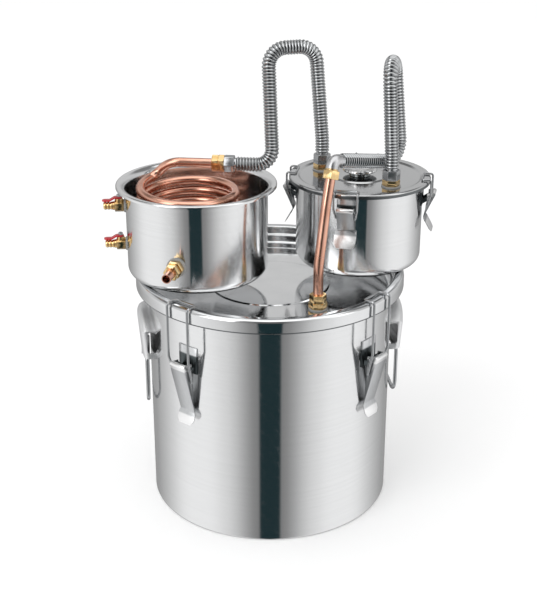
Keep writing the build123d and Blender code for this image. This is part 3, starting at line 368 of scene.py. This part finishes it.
# %% Grid surfaces
def surface(name, grid, finish, node):
    """Mesh whose faces are the cells of a (rows, columns, 3) grid that closes up both ways.
    Doubled points at poles are merged, and faces turned outwards. The piece rides on the still
    and stands for a CAD node."""
    rows, columns = grid.shape[:2]
    row, column = np.meshgrid(np.arange(rows), np.arange(columns), indexing="ij")
    below, right = (row + 1) % rows, (column + 1) % columns
    cells = np.stack([row * columns + column, row * columns + right,
                      below * columns + right, below * columns + column], axis=-1)
    mesh = bpy.data.meshes.new(name)
    mesh.from_pydata(grid.reshape(-1, 3).tolist(), [], cells.reshape(-1, 4).tolist())
    skin = bmesh.new()
    skin.from_mesh(mesh)
    bmesh.ops.remove_doubles(skin, verts=skin.verts, dist=1e-6)
    bmesh.ops.recalc_face_normals(skin, faces=skin.faces)
    skin.to_mesh(mesh)
    skin.free()
    mesh.polygons.foreach_set("use_smooth", np.ones(len(mesh.polygons), bool))
    mesh.set_sharp_from_angle(angle=radians(35))
    mesh.materials.append(finish)
    piece = bpy.data.objects.new(name, mesh)
    bpy.context.scene.collection.objects.link(piece)
    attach(piece, "still")
    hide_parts(node)
    return piece


# %% [markdown]
# ## Lines, tubes and turned outlines
# A fitter bends a tube over a former, so every route here is a chain of straight runs with an
# arc of a given radius in each corner. The same helper rounds the outlines of the turned pots.

# %% Lines with rounded corners
def unit(vector):
    """The same direction at length 1."""
    return np.array(vector, float) / np.linalg.norm(vector)


def rounded(points, radii, step=0.12):
    """Straight runs joined by tangent arcs. The arc at a corner of half-angle h starts r / tan h
    before it, and its points are the start and end spokes blended by sines."""
    points = np.array(points, float)
    line = [points[:1]]
    for corner, radius in enumerate(radii, start=1):
        back = unit(points[corner - 1] - points[corner])
        ahead = unit(points[corner + 1] - points[corner])
        half = np.arccos(np.clip(back @ ahead, -1, 1)) / 2
        centre = points[corner] + unit(back + ahead) * radius / sin(half)
        first = points[corner] + back * radius / np.tan(half) - centre
        last = points[corner] + ahead * radius / np.tan(half) - centre
        turn = pi - 2 * half
        share = np.linspace(0, 1, max(4, ceil(turn / step) + 1))[:, None]
        line.append(centre + (np.sin((1 - share) * turn) * first + np.sin(share * turn) * last)
                    / sin(turn))
    line.append(points[-1:])
    return np.vstack(line)


# %% Rings along a line, turned outlines and bent sheet
ROUND_TUBE = 40             # points round a tube


def evenly(line, spacing):
    """The same line at even distances along it, and those distances."""
    reach = np.concatenate([[0], np.cumsum(np.linalg.norm(np.diff(line, axis=0), axis=1))])
    keep = np.concatenate([[True], np.diff(reach) > 1e-9])
    line, reach = line[keep], reach[keep]
    along = np.linspace(0, reach[-1], ceil(reach[-1] / spacing) + 1)
    return np.stack([np.interp(along, reach, line[:, k]) for k in range(3)], axis=1), along


def tube_rings(line, radius, steady):
    """Circles square to a line: centre + r (cos a X + sin a Y), with X the part of a steady
    direction that is square to the line."""
    tangent = np.gradient(line, axis=0)
    tangent /= np.linalg.norm(tangent, axis=1, keepdims=True)
    across = steady - tangent * (tangent @ steady)[:, None]
    across /= np.linalg.norm(across, axis=1, keepdims=True)
    other = np.cross(tangent, across)
    angle = np.linspace(0, 2 * pi, ROUND_TUBE, endpoint=False)
    ring = (np.cos(angle)[None, :, None] * across[:, None]
            + np.sin(angle)[None, :, None] * other[:, None])
    return line[:, None] + np.broadcast_to(radius, len(line))[:, None, None] * ring


def turned(name, profile, centre, finish, node, segments):
    """Closed (radius, height) outline in millimetres, turned about an upright axis:
    x = cx + r cos a, y = cy + r sin a, z = h."""
    angle = np.linspace(0, 2 * pi, segments, endpoint=False)
    radius, height = profile[:, :1], profile[:, 1:]
    grid = np.stack([centre[0] + radius * np.cos(angle), centre[1] + radius * np.sin(angle),
                     height + 0 * angle], axis=-1)
    return surface(name, grid * MM, finish, node)


def sheet(points, radii, wall, side):
    """Outline of bent sheet: a rounded line, and the same line one wall to its left (side 1) or
    right (side -1), joined at both ends. Points are (radius, height)."""
    line = rounded([(r, h, 0) for r, h in points], radii)[:, :2]
    tangent = np.gradient(line, axis=0)
    tangent /= np.linalg.norm(tangent, axis=1, keepdims=True)
    other = line + side * wall * np.stack([-tangent[:, 1], tangent[:, 0]], axis=1)
    other[:, 0] = np.maximum(other[:, 0], 0)
    return np.concatenate([line, other[::-1]])


# %% [markdown]
# ## The turned shells
# Each pot and lid is one open outline of (radius, height) points in millimetres, with a bend
# radius at each corner. It gets the thickness of its sheet to one side and is turned about its
# own axis. On the lids, the top of the boiler's ring gets a greyer finish as painted shade, and
# the turned-down hems get a dark one as painted shadow. The measures are those of the
# construction, except that the knob is 8.8 mm high instead of 12, the condenser's rim flares over
# 7 mm instead of 3, and the skirt of the boiler's lid ends in a small hem, because the real ones
# look so.

# %% Measures of the pots, millimetres
BOILER = {"r": 150.0, "top": 297.0, "wall": 1.2, "corner": 3.0, "step": 4.5, "neck_drop": 18.0,
          "gasket": 4.4, "flange_in": 2.8}
LID = {"ring_r": 164.6, "well_r": 151.8, "lower_r": 147.3, "skirt": 18.0, "well": 21.0,
       "ledge": 11.0, "bead_r": 72.0, "bead": 1.0, "bead_slope": 2.5, "hem": 3.4}
KNOB = {"r": 21.0, "foot": 13.0, "waist": 11.6, "height": 8.8, "dish": 2.4, "dish_r": 18.48,
        "painted_rays_depth": 2.9}


def axis_of(node):
    """Middle of a round node, seen from above, in millimetres."""
    low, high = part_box(node)
    return tuple((np.array(low) + high)[:2] / 2 / MM)


CONDENSER = {"at": axis_of("condenser_pot"), "r": 85.0, "height": 112.5, "corner": 11.0,
             "rim": 10.9, "lip": 2.6, "wall": 1.0, "flare": 7.0}
KEG = {"at": axis_of("keg_lid"), "r": 77.3, "height": 109.0, "corner": 13.0, "rim": 9.0,
       "skirt": 5.4, "drop": 1.8, "gasket": 1.6, "disc_r": 32.0, "disc": 1.4, "wall": 1.0,
       "flare": 3.0}
print("pot axes in mm", np.round(CONDENSER["at"], 2), np.round(KEG["at"], 2))


# %% Pots
SLACK = 0.01                # mm by which a face may lie over the height that is asked for


def refinish(piece, finish, axis, inner_r, low, high):
    """Give a finish to faces beyond inner_r from the axis and from height low to high."""
    middles = np.empty(len(piece.data.polygons) * 3)
    piece.data.polygons.foreach_get("center", middles)
    x, y, z = middles.reshape(-1, 3).T / MM
    chosen = (np.hypot(x - axis[0], y - axis[1]) > inner_r) & (z >= low) & (z <= high + SLACK)
    index = np.empty(len(chosen), int)
    piece.data.polygons.foreach_get("material_index", index)
    index[chosen] = len(piece.data.materials)
    piece.data.materials.append(finish)
    piece.data.polygons.foreach_set("material_index", index)
    print(piece.name, finish.name, "faces", chosen.sum())


def boiler_shell():
    """Base, wall, neck and flange of the boiler."""
    neck = BOILER["top"] - BOILER["neck_drop"]
    flange = BOILER["top"] - 2 * BOILER["wall"] - BOILER["gasket"]
    edge = LID["ring_r"] - BOILER["wall"] - BOILER["flange_in"]
    neck_r = BOILER["r"] + BOILER["step"]
    outline = sheet([(0, 0), (BOILER["r"], 0), (BOILER["r"], neck),
                     (neck_r, neck + BOILER["step"]), (neck_r, flange), (edge, flange)],
                    [BOILER["corner"], 3, 3, 1.6], BOILER["wall"], 1)
    return turned("boiler_shell", outline, (0, 0), WALL, "boiler_pot", 384)


def lid_shell():
    """The boiler's lid: an embossed circle, the recess with its ledge, the ring and the skirt."""
    top, plate = BOILER["top"], BOILER["top"] - LID["well"]
    raised, ledge = plate + LID["bead"], top - LID["ledge"]
    outline = sheet([(0, raised), (LID["bead_r"], raised),
                     (LID["bead_r"] + LID["bead_slope"], plate), (LID["lower_r"], plate),
                     (LID["lower_r"], ledge), (LID["well_r"], ledge),
                     (LID["well_r"], top), (LID["ring_r"], top),
                     (LID["ring_r"], top - LID["skirt"]),
                     (LID["ring_r"] - LID["hem"], top - LID["skirt"])],
                    [2, 2, 3, 2, 2, 3.5, 5, 2.8], BOILER["wall"], -1)
    piece = turned("lid_shell", outline, (0, 0), POLISHED, "boiler_lid", 384)
    # painted shade on the top of the ring, and painted shadow on the hem under the skirt
    refinish(piece, PAINTED_SHADE_RING, (0, 0), LID["well_r"] - 0.5, top - 0.8, top)
    refinish(piece, PAINTED_SHADOW_HEM, (0, 0), LID["well_r"] + 3, 0, top - LID["skirt"] + 2.4)
    return piece


def small_pot(name, pot, flange_r, flange_z, lip, node):
    """A pot on the boiler: base, wall and rim, with the rim's edge turned down by lip."""
    points = [(0, 0), (pot["r"], 0), (pot["r"], flange_z), (flange_r, flange_z)]
    radii = [pot["corner"], pot["flare"]]
    if lip:
        points.append((flange_r, flange_z - lip))
        radii.append(1.2)
    outline = sheet(points, radii, pot["wall"], 1) + [0, BOILER["top"]]
    return turned(name, outline, pot["at"], WALL, node, 320)


def keg_cover():
    """The keg's lid: embossed disc, sunk plate and turned-down edge."""
    top = BOILER["top"] + KEG["height"]
    plate, plate_r = top - KEG["drop"], KEG["r"] - KEG["wall"] - 0.3
    edge = KEG["r"] + KEG["rim"]
    outline = sheet([(0, plate + KEG["disc"]), (KEG["disc_r"], plate + KEG["disc"]),
                     (KEG["disc_r"] + 3, plate), (plate_r - 3, plate), (plate_r, top),
                     (edge, top), (edge, top - KEG["skirt"])], [2, 2, 2, 2, 2.2],
                    KEG["wall"], -1)
    piece = turned("keg_cover", outline, KEG["at"], SHADED_LID_PLATE, "keg_lid", 320)
    # painted shadow on the keg lid's turned-down edge
    refinish(piece, PAINTED_SHADOW_HEM, KEG["at"], edge - 1.2, 0, top - 2.0)
    return piece


def knob():
    """Spun knob: narrow waist, flared flank, rounded rim and dished top."""
    foot, rim, high, dish_r = KNOB["foot"], KNOB["r"], KNOB["height"], KNOB["dish_r"]
    flank = rounded([(foot, 0, 0), (KNOB["waist"], high * 0.38, 0), (rim + 0.4, high * 0.62, 0),
                     (rim - 0.6, high, 0), (dish_r, high, 0),
                     (dish_r * 0.42, high - KNOB["dish"], 0), (2, high - KNOB["dish"], 0)],
                    [1.4, 1.5, 1.0, 0.6, 3.0])[:, :2]
    seat = BOILER["top"] + KEG["height"] - KEG["drop"] + KEG["disc"]
    outline = np.concatenate([[[0, 0]], flank, [[0, high - KNOB["dish"]]]]) + [0, seat]
    outline[:, 0] = np.minimum(outline[:, 0], rim)
    # painted reflection rays on the knob's top and painted shade on its flank
    rays(SPUN, np.array(KEG["at"]) * MM, (seat + high) * MM, KNOB["painted_rays_depth"] * MM)
    return turned("knob", outline, KEG["at"], SPUN, "keg_knob", 128)


boiler_shell()
lid_shell()
small_pot("condenser_shell", CONDENSER, CONDENSER["r"] + CONDENSER["rim"] - CONDENSER["wall"],
          CONDENSER["height"] - CONDENSER["wall"], CONDENSER["lip"], "condenser_pot")
small_pot("keg_shell", KEG, KEG["r"] + KEG["rim"] - KEG["wall"] - 0.3,
          KEG["height"] - 2 * KEG["wall"] - KEG["gasket"], 0, "keg_pot")
keg_cover()
knob()


# %% [markdown]
# ## The tubes
# The riser, its elbow and both hoses follow straight runs joined by arcs. The coil is the formula
# of a helix whose turns are a little higher at the back, and at both ends two arcs bring it into
# the straight tube.

# %% Places that the routes start and end at, millimetres
UP = np.array([0.0, 0.0, 1.0])
SEAT = 8.5                          # washer and union under each hose
STEM = 36.0                         # height above a port at which its hose starts to bend
PLATE = BOILER["top"] - LID["well"]
KEG_PLATE = BOILER["top"] + KEG["height"] - KEG["drop"]
CONDENSER_TOP = BOILER["top"] + CONDENSER["height"]
RISER_FOOT = np.array([56.0, -81.0, PLATE])
RISER_TIP = np.array([70.5, -53.5, 436.0])
RISER_LEAN = unit([2.0, 4.0, 12.0])
INLET = np.array([*KEG["at"], KEG_PLATE]) + [33.8, -44.3, 0]
OUTLET = np.array([*KEG["at"], KEG_PLATE]) + [-45.2, 25.7, 0]
FEED_AXIS = unit([1.0, -0.12, 0.0])
FEED = np.array([*CONDENSER["at"], CONDENSER_TOP]) + [33.0, 25.0, 15.0]
LEAN_BEND, LOOP_BEND, ARCH_BEND, FEED_BEND, ELBOW_BEND = 90.0, 20.5, 22.0, 18.0, 8.6
FINE = 0.04                         # angle between points on the arcs of a tube
print("ports in mm", np.round(INLET, 1), np.round(OUTLET, 1), np.round(FEED, 1))


# %% Routes of the riser and the hoses
def riser_line():
    """Upright out of the lid, then leaning to the elbow."""
    foot = RISER_FOOT + UP * SEAT
    return rounded([foot, foot + UP * 45, RISER_TIP - RISER_LEAN * 40, RISER_TIP],
                   [LEAN_BEND, LEAN_BEND], FINE)


def elbow_and_loop():
    """Centre lines of the elbow on the riser and of the hose that loops to the keg."""
    run, loop_rise = 9.5, 143.0
    start = RISER_TIP + RISER_LEAN * 2
    corner = start + RISER_LEAN * run
    heel = INLET + [15, 40, 19]
    end = corner + unit(heel - corner) * run
    loop = rounded([end, heel, INLET + [3, 40, loop_rise], INLET + [-6.4, 0, loop_rise],
                    INLET + UP * STEM, INLET + UP * SEAT],
                   [ARCH_BEND, LOOP_BEND, LOOP_BEND, LEAN_BEND], FINE)
    return rounded([start, corner, end], [ELBOW_BEND], FINE), loop


def arch_line():
    """Centre line of the hose from the keg over the arch to the condenser."""
    top = OUTLET[2] + 153
    return rounded([OUTLET + UP * SEAT, OUTLET + UP * STEM, [OUTLET[0] - 10, OUTLET[1], top],
                    [-2, 40, top], FEED + FEED_AXIS * 58, FEED],
                   [LEAN_BEND, ARCH_BEND, ARCH_BEND, FEED_BEND], FINE)


# %% Route of the coil
JUST_UNDER = 0.9999                 # keeps two arcs that meet from overlapping
COIL = {"r": 56.5, "off": (-10.5, 3.0, 0), "turns": 5, "begin": radians(150), "tilt": 1.5,
        "drop": 6.0, "bend": 15.5, "in_feed": 6.0, "run": 48.0, "spout": 37.0, "points": 160}
PORT_TURN, PORT_HEIGHT = radians(-14), BOILER["top"] + 35


def two_arcs(start, start_dir, end, end_dir):
    """Two tangent arcs between two directions. With chord c, sum s = d0 + d1 and
    k = 2 (1 - d0.d1), both reach a = (sqrt((c.s)^2 + k c.c) - c.s) / k to their corners."""
    chord, both = end - start, start_dir + end_dir
    spread = 2 * (1 - start_dir @ end_dir)
    reach = (sqrt((chord @ both) ** 2 + spread * (chord @ chord)) - chord @ both) / spread
    corners = [start + start_dir * reach, end - end_dir * reach]
    radii = []
    for back, corner, ahead in ((start, *corners), (corners[0], corners[1], end)):
        bend = np.arccos(np.clip(unit(back - corner) @ unit(ahead - corner), -1, 1)) / 2
        radii.append(reach * np.tan(bend) * JUST_UNDER)
    return rounded([start, *corners, end], radii, 0.03)


def coil_line():
    """Angle a = a0 + 2 pi t, place = axis + R (cos a, sin a), and
    height = z0 - p t + k (sin a - sin a0), with two arcs from the feed and two to the spout."""
    axis, radius = np.array([*CONDENSER["at"], 0]) + COIL["off"], COIL["r"]
    outward = np.array([sin(PORT_TURN), -cos(PORT_TURN), 0])
    sideways = np.cross(UP, outward)
    port = np.array([*CONDENSER["at"], PORT_HEIGHT]) + outward * CONDENSER["r"]
    shift = sideways @ (port - axis)
    begin = COIL["begin"]
    leave = PORT_TURN - pi / 2 + (shift - COIL["bend"]) / radius
    turns = COIL["turns"] + ((leave - begin) / (2 * pi)) % 1
    top = CONDENSER_TOP - COIL["drop"]
    pitch = (top - port[2] - COIL["tilt"] * (sin(begin) - sin(leave))) / turns
    angle = begin + 2 * pi * np.linspace(0, turns, ceil(turns * COIL["points"]))
    fall = (angle - begin) / (2 * pi) * pitch
    lift = COIL["tilt"] * (np.sin(angle) - sin(begin))
    helix = np.stack([axis[0] + radius * np.cos(angle), axis[1] + radius * np.sin(angle),
                      top - fall + lift], axis=1)
    first, last = unit(helix[1] - helix[0]), unit(helix[-1] - helix[-2])
    inlet = FEED - FEED_AXIS * COIL["in_feed"]
    bend_end = axis + sideways * shift + outward * (radius + COIL["bend"])
    bend_end[2] = port[2]
    return np.vstack([[inlet],
                      two_arcs(inlet - FEED_AXIS * COIL["run"], -FEED_AXIS, helix[0], first),
                      helix, two_arcs(helix[-1], last, bend_end, outward),
                      [port + outward * COIL["spout"]]])


# %% [markdown]
# ## Corrugated hose
# The wall of a steel hose is a row of rounded rings. Its radius along the tube is
# r(s) = root + (crest - root) (1/2 - 1/2 cos(2 pi s / pitch))^0.7, where the power makes the
# crests fuller than the valleys. The construction has fewer and wider rings, and here they are
# as close as on the real hose. A plain cuff at each end goes into the nut.

# %% Tubes and hoses
CREST, ROOT, BORE, CUFF, PITCH_OF_RIBS = 8.7, 7.1, 5.8, 14.5, 3.7      # millimetres
ROWS = 8                            # rows of points to a rib
BORE_ROWS = 12                      # the bore needs only every twelfth of them


def ribbed(name, line, steady, node, first=CUFF):
    """Corrugated hose with a plain bore. Its mask "valley_shade_mask" of painted shade is
    ((crest - r) / (crest - root))^1.5 on the ribs and 1 in the bore."""
    line, along = evenly(line, PITCH_OF_RIBS / ROWS)
    bellows = along[-1] - first - CUFF
    ribs = round(bellows / PITCH_OF_RIBS)
    phase = np.clip((along - first) / bellows, 0, 1) * ribs
    radius = ROOT + (CREST - ROOT) * (0.5 - 0.5 * np.cos(2 * pi * phase)) ** 0.7
    outer = tube_rings(line * MM, radius * MM, unit(steady))
    inner = tube_rings(line * MM, BORE * MM, unit(steady))
    inner = np.concatenate([inner[::BORE_ROWS], inner[-1:]])
    print(name, "ribs", ribs, "length", round(along[-1], 1))
    piece = surface(name, np.concatenate([outer, inner[::-1]]), HOSE, node)
    # painted shade in the valleys between ribs and all through the bore
    depth = np.clip((CREST - radius) / (CREST - ROOT), 0, 1) ** 1.5
    valley_shade_mask = depth * ((phase > 0) & (phase < ribs))
    spread = np.concatenate([np.repeat(valley_shade_mask, ROUND_TUBE), np.ones(len(inner) * ROUND_TUBE)])
    mask = piece.data.attributes.new("valley_shade_mask", "FLOAT", "POINT")
    mask.data.foreach_set("value", spread[:len(piece.data.vertices)])
    return piece


def plain_tube(name, line, radius, bore, steady, finish, node, spacing=2.0):
    """Tube with a bore, open at both ends: out along the outside and back along the bore."""
    line, along = evenly(line, spacing)
    print(name, "length", round(along[-1], 1))
    outer = tube_rings(line * MM, radius * MM, unit(steady))
    inner = tube_rings(line * MM, bore * MM, unit(steady))
    return surface(name, np.concatenate([outer, inner[::-1]]), finish, node)


ACROSS_LOOP = (0.57, -0.82, 0)      # square to the upright plane of the loop
elbow, loop = elbow_and_loop()
plain_tube("riser", riser_line(), 6.0, 5.0, (1, 0, 0), COPPER, "riser_tube")
plain_tube("elbow", elbow, 7.6, BORE, ACROSS_LOOP, CUFF_STEEL, "riser_elbow", 0.7)
plain_tube("coil", coil_line(), 5.5, 4.5, (0.02, 0.01, 1), COPPER, "condenser_coil")
ribbed("loop_hose", loop, ACROSS_LOOP, "hose_riser_to_keg", first=4.0)
ribbed("arch_hose", arch_line(), (0.3, -0.95, 0), "hose_keg_to_condenser")


# %% [markdown]
# ## Machined and pressed pieces
# These keep their construction shape. Merging the doubled points of the import makes them one
# skin, a fine bevel takes the razor edge off, and the bevel's normals keep flat faces flat. The
# clamps are bent strip with painted light and shade: a lever has painted highlights on its rolled
# top and its tongue and is greyer between them, and a base plate has painted light on top and
# painted shadow behind its lever. So their tint is a function of height.

# %% Finish the carried-over pieces
def kept(names, finish, width=0.18, angle=32):
    """Weld the skin, round its edges and give it a finish."""
    for name in names:
        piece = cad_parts[name]
        for place in piece.material_slots:
            place.link = "OBJECT"
            place.material = finish
        piece.data.polygons.foreach_set("use_smooth", np.ones(len(piece.data.polygons), bool))
        weld = piece.modifiers.new("weld", "WELD")
        weld.merge_threshold = 2e-6
        bevel = piece.modifiers.new("edges", "BEVEL")
        bevel.width = width * MM
        bevel.segments = 2
        bevel.limit_method = "ANGLE"
        bevel.angle_limit = radians(angle)
        bevel.harden_normals = True


FADE = 2.0 * MM             # height over which one tint gives way to the other


def painted_light_bands(name, box, drop, tongue, middle, ends):
    """Strip steel with painted light and shade by height: the tint ends down to drop under the
    box's top and up to tongue over its bottom, and the tint middle between them."""
    finish = metal(name, middle, 0.33, patches=0.06, stretch=(420.0, 420.0, 25.0), depth=0.02,
                   height_scale=0.1, streak=0.06)
    tree = finish.node_tree
    shader = tree.nodes["Principled BSDF"]
    brushed = shader.inputs["Base Color"].links[0].from_socket
    place = put(tree, "ShaderNodeTexCoord").outputs["Object"]
    height = put(tree, "ShaderNodeSeparateXYZ", Vector=place).outputs[2]
    (_, _, bottom), (_, _, top) = box
    # painted light on the rolled top and on the tongue
    roll = put(tree, "ShaderNodeMapRange", Value=height, From_Min=top - drop - FADE,
               From_Max=top - drop).outputs[0]
    end = put(tree, "ShaderNodeMapRange", Value=height, From_Min=bottom + tongue,
              From_Max=bottom + tongue - FADE).outputs[0]
    lit_band = math(tree, "MAXIMUM", roll, end)
    tree.links.new(mixed(tree, lit_band, brushed, (*ends, 1)), shader.inputs["Base Color"])
    SLOT_OF[finish] = "plated_steel"
    return finish


# %% The clamps, the handles and the fittings
# painted shadow behind the levers, and painted light on the base plates and the levers
SHADED, LIT_PLATE, LIT_LEVER = (0.10, 0.115, 0.12), (0.72, 0.73, 0.74), (0.97, 0.97, 0.97)
# painted-light height of a base plate, of a lever's roll and of its tongue in mm, and the lever's
# tint
CLAMPS = {"boiler": (9.0, 7.0, 12.0, (0.60, 0.61, 0.62)),
          "keg": (5.0, 4.0, 15.0, (0.42, 0.43, 0.44))}

every = list(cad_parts)
bails = [name for name in every if "_bail_" in name]
for pot, (plate, roll, tongue, tint) in CLAMPS.items():
    bases = pot + "_clamp_bases"
    kept([bases], painted_light_bands(bases + "_steel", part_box(bases), plate * MM, 0.0, SHADED, LIT_PLATE))
    own = [name for name in every if name.startswith(pot) and "_lever_" in name]
    kept(own, painted_light_bands(pot + "_lever_steel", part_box(own[0]), roll * MM, tongue * MM, tint,
                     LIT_LEVER))
kept(["boiler_clamp_pins", "keg_clamp_pins"], WIRE, 0.3)
kept(bails + ["handle_ring_left", "handle_ring_right"], WIRE, 0.05, 60)
kept(["handle_bracket_left", "handle_bracket_right"], SATIN, 0.3)
kept(["hose_nuts"], NUT_STEEL, 0.3)
kept(["riser_union", "riser_nuts", "riser_collar", "keg_unions", "feed_union", "outlet_fitting",
      "valve_body_upper", "valve_body_lower"], BRASS, 0.25)
kept(["valve_stem_upper", "valve_stem_lower"], NUT_STEEL, 0.1)
kept(["valve_lever_upper", "valve_lever_lower"], RED, 0.3)
kept(["boiler_gasket", "keg_gasket", "port_washers", "wall_washers"], SILICONE, 0.2)
kept(["lid_locknuts", "wall_locknuts", "keg_dip_tube", "keg_knob_screw"], NUT_STEEL, 0.1)
print("kept", sum(1 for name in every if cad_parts[name].modifiers))


# %% [markdown]
# ## The studio
# Polished steel shows its surroundings more than itself, so the room is painted by direction.
# With the angle a counted from straight in front of the object, the room is dark up to 9.5
# degrees, which draws the stripe down the middle of each pot, brightest at 60 to 90 degrees, and
# greyer again towards the back. Above the horizon it is an even grey behind the object, which
# the lids show. In front of it, a tall bright window on the left, a small one on the right and a
# skylight overhead put highlights on tubes, hoses and levers. The floor and everything matt get
# an even white light, and the camera sees plain white.

# %% Room, floor and lamps
ROUND_LEVELS = [(0, 0.03), (9.5, 0.03), (11.0, 0.24), (16.6, 0.29), (24.5, 0.44), (32.5, 0.62),
                (40.7, 0.77), (49.0, 0.86), (57.8, 0.96), (66.8, 1.0), (87.0, 1.0),
                (98.0, 0.93), (111.0, 0.75), (126.0, 0.57), (147.0, 0.38), (180.0, 0.30)]
DARK_TINT = (0.014, 0.032, 0.037)       # the dark front is a little blue-green
# above the horizon: by height z behind the object, and by angle from -180 to 180 before it
BEHIND = [(0.0, 0.66), (0.50, 0.66), (0.62, 0.22), (1.0, 0.22)]
BEFORE = [(-180, 0.6), (-75, 0.7), (-62, 0.5), (-56, 2.8), (-34, 2.8), (-28, 0.35), (-8, 0.12),
          (12, 0.12), (26, 0.45), (50, 0.9), (60, 1.7), (70, 1.7), (78, 0.6), (180, 0.6)]
SKYLIGHT = 1.4


def room():
    """Light by direction d = (x, y, z). The angle a = atan2(x, -y) is 0 straight in front. Its
    size |a| / 180 degrees sets the light at and under the horizon, and a share
    max(0, min(1, (z - 0.05) / 0.25)) of it gives way to the light above."""
    world = bpy.data.worlds.new("room")
    bpy.context.scene.world = world
    world.use_nodes = True
    tree = world.node_tree
    way = put(tree, "ShaderNodeSeparateXYZ",
              Vector=put(tree, "ShaderNodeTexCoord").outputs["Generated"]).outputs
    turn = math(tree, "ARCTAN2", way[0], math(tree, "MULTIPLY", way[1], -1))
    aside = math(tree, "DIVIDE", math(tree, "ABSOLUTE", turn), pi)
    ring = ramp(tree, aside, [(angle / 180, level) for angle, level in ROUND_LEVELS], DARK_TINT)
    signed = math(tree, "ADD", math(tree, "DIVIDE", turn, 2 * pi), 0.5)
    before = ramp(tree, signed, [(angle / 360 + 0.5, level) for angle, level in BEFORE])
    back = put(tree, "ShaderNodeMapRange", Value=aside, From_Min=0.50, From_Max=0.62).outputs[0]
    above = mixed(tree, back, before, ramp(tree, way[2], BEHIND))
    sky = put(tree, "ShaderNodeMapRange", Value=way[2], From_Min=0.80, From_Max=0.86).outputs[0]
    above = mixed(tree, sky, above, (SKYLIGHT, SKYLIGHT, SKYLIGHT, 1))
    climb = put(tree, "ShaderNodeMapRange", Value=way[2], From_Min=0.05, From_Max=0.30).outputs[0]
    shown = mixed(tree, climb, ring, above)
    path = put(tree, "ShaderNodeLightPath").outputs
    tree.links.new(mixed(tree, path["Is Glossy Ray"], (1, 1, 1, 1), shown),
                   tree.nodes["Background"].inputs[0])
    tree.nodes["Background"].inputs[1].default_value = 1.0


def floor():
    """White ground that keeps the object's shadow and isn't mirrored by the metal."""
    mesh = bpy.data.meshes.new("floor")
    mesh.from_pydata([(-6, -6, 0), (6, -6, 0), (6, 6, 0), (-6, 6, 0)], [], [(0, 1, 2, 3)])
    ground = bpy.data.objects.new("floor", mesh)
    bpy.context.scene.collection.objects.link(ground)
    finish, _, shader = bare_material("white_floor")
    shader.inputs["Base Color"].default_value = (1, 1, 1, 1)
    shader.inputs["Roughness"].default_value = 1.0
    shader.inputs["Specular IOR Level"].default_value = 0.0
    mesh.materials.append(finish)
    ground.visible_glossy = False
    ground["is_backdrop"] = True


def lamp(name, place, target, size, power):
    """Soft rectangular lamp that looks at a target and isn't mirrored by the metal."""
    data = bpy.data.lights.new(name, "AREA")
    data.shape = "RECTANGLE"
    data.size, data.size_y = size
    data.energy = power
    light = bpy.data.objects.new(name, data)
    light.location = place
    away = np.array(place) - np.array(target)
    across = sqrt(away[0] ** 2 + away[1] ** 2)
    light.rotation_euler = (atan2(across, away[2]), 0, atan2(away[1], away[0]) + pi / 2)
    light.visible_glossy = False
    bpy.context.scene.collection.objects.link(light)


room()
floor()
print("stops of the room's light", len(ROUND_LEVELS), len(BEHIND), len(BEFORE))
lamp("key_lamp", (-0.9, -1.2, 2.0), (0, 0, 0.2), (1.2, 1.2), 12)

# %% [markdown]
# ## The boxes
# The sizes of the construction's box and of the visual model's box are printed in millimetres.

# %% Boxes
visual_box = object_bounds()
boxes = {"cad": [[float(v) for v in corner] for corner in cad_box],
         "visual": [[float(v) for v in corner] for corner in visual_box]}
for name, corners in boxes.items():
    print(name, [round((high - low) / MM, 1) for low, high in zip(*corners)])
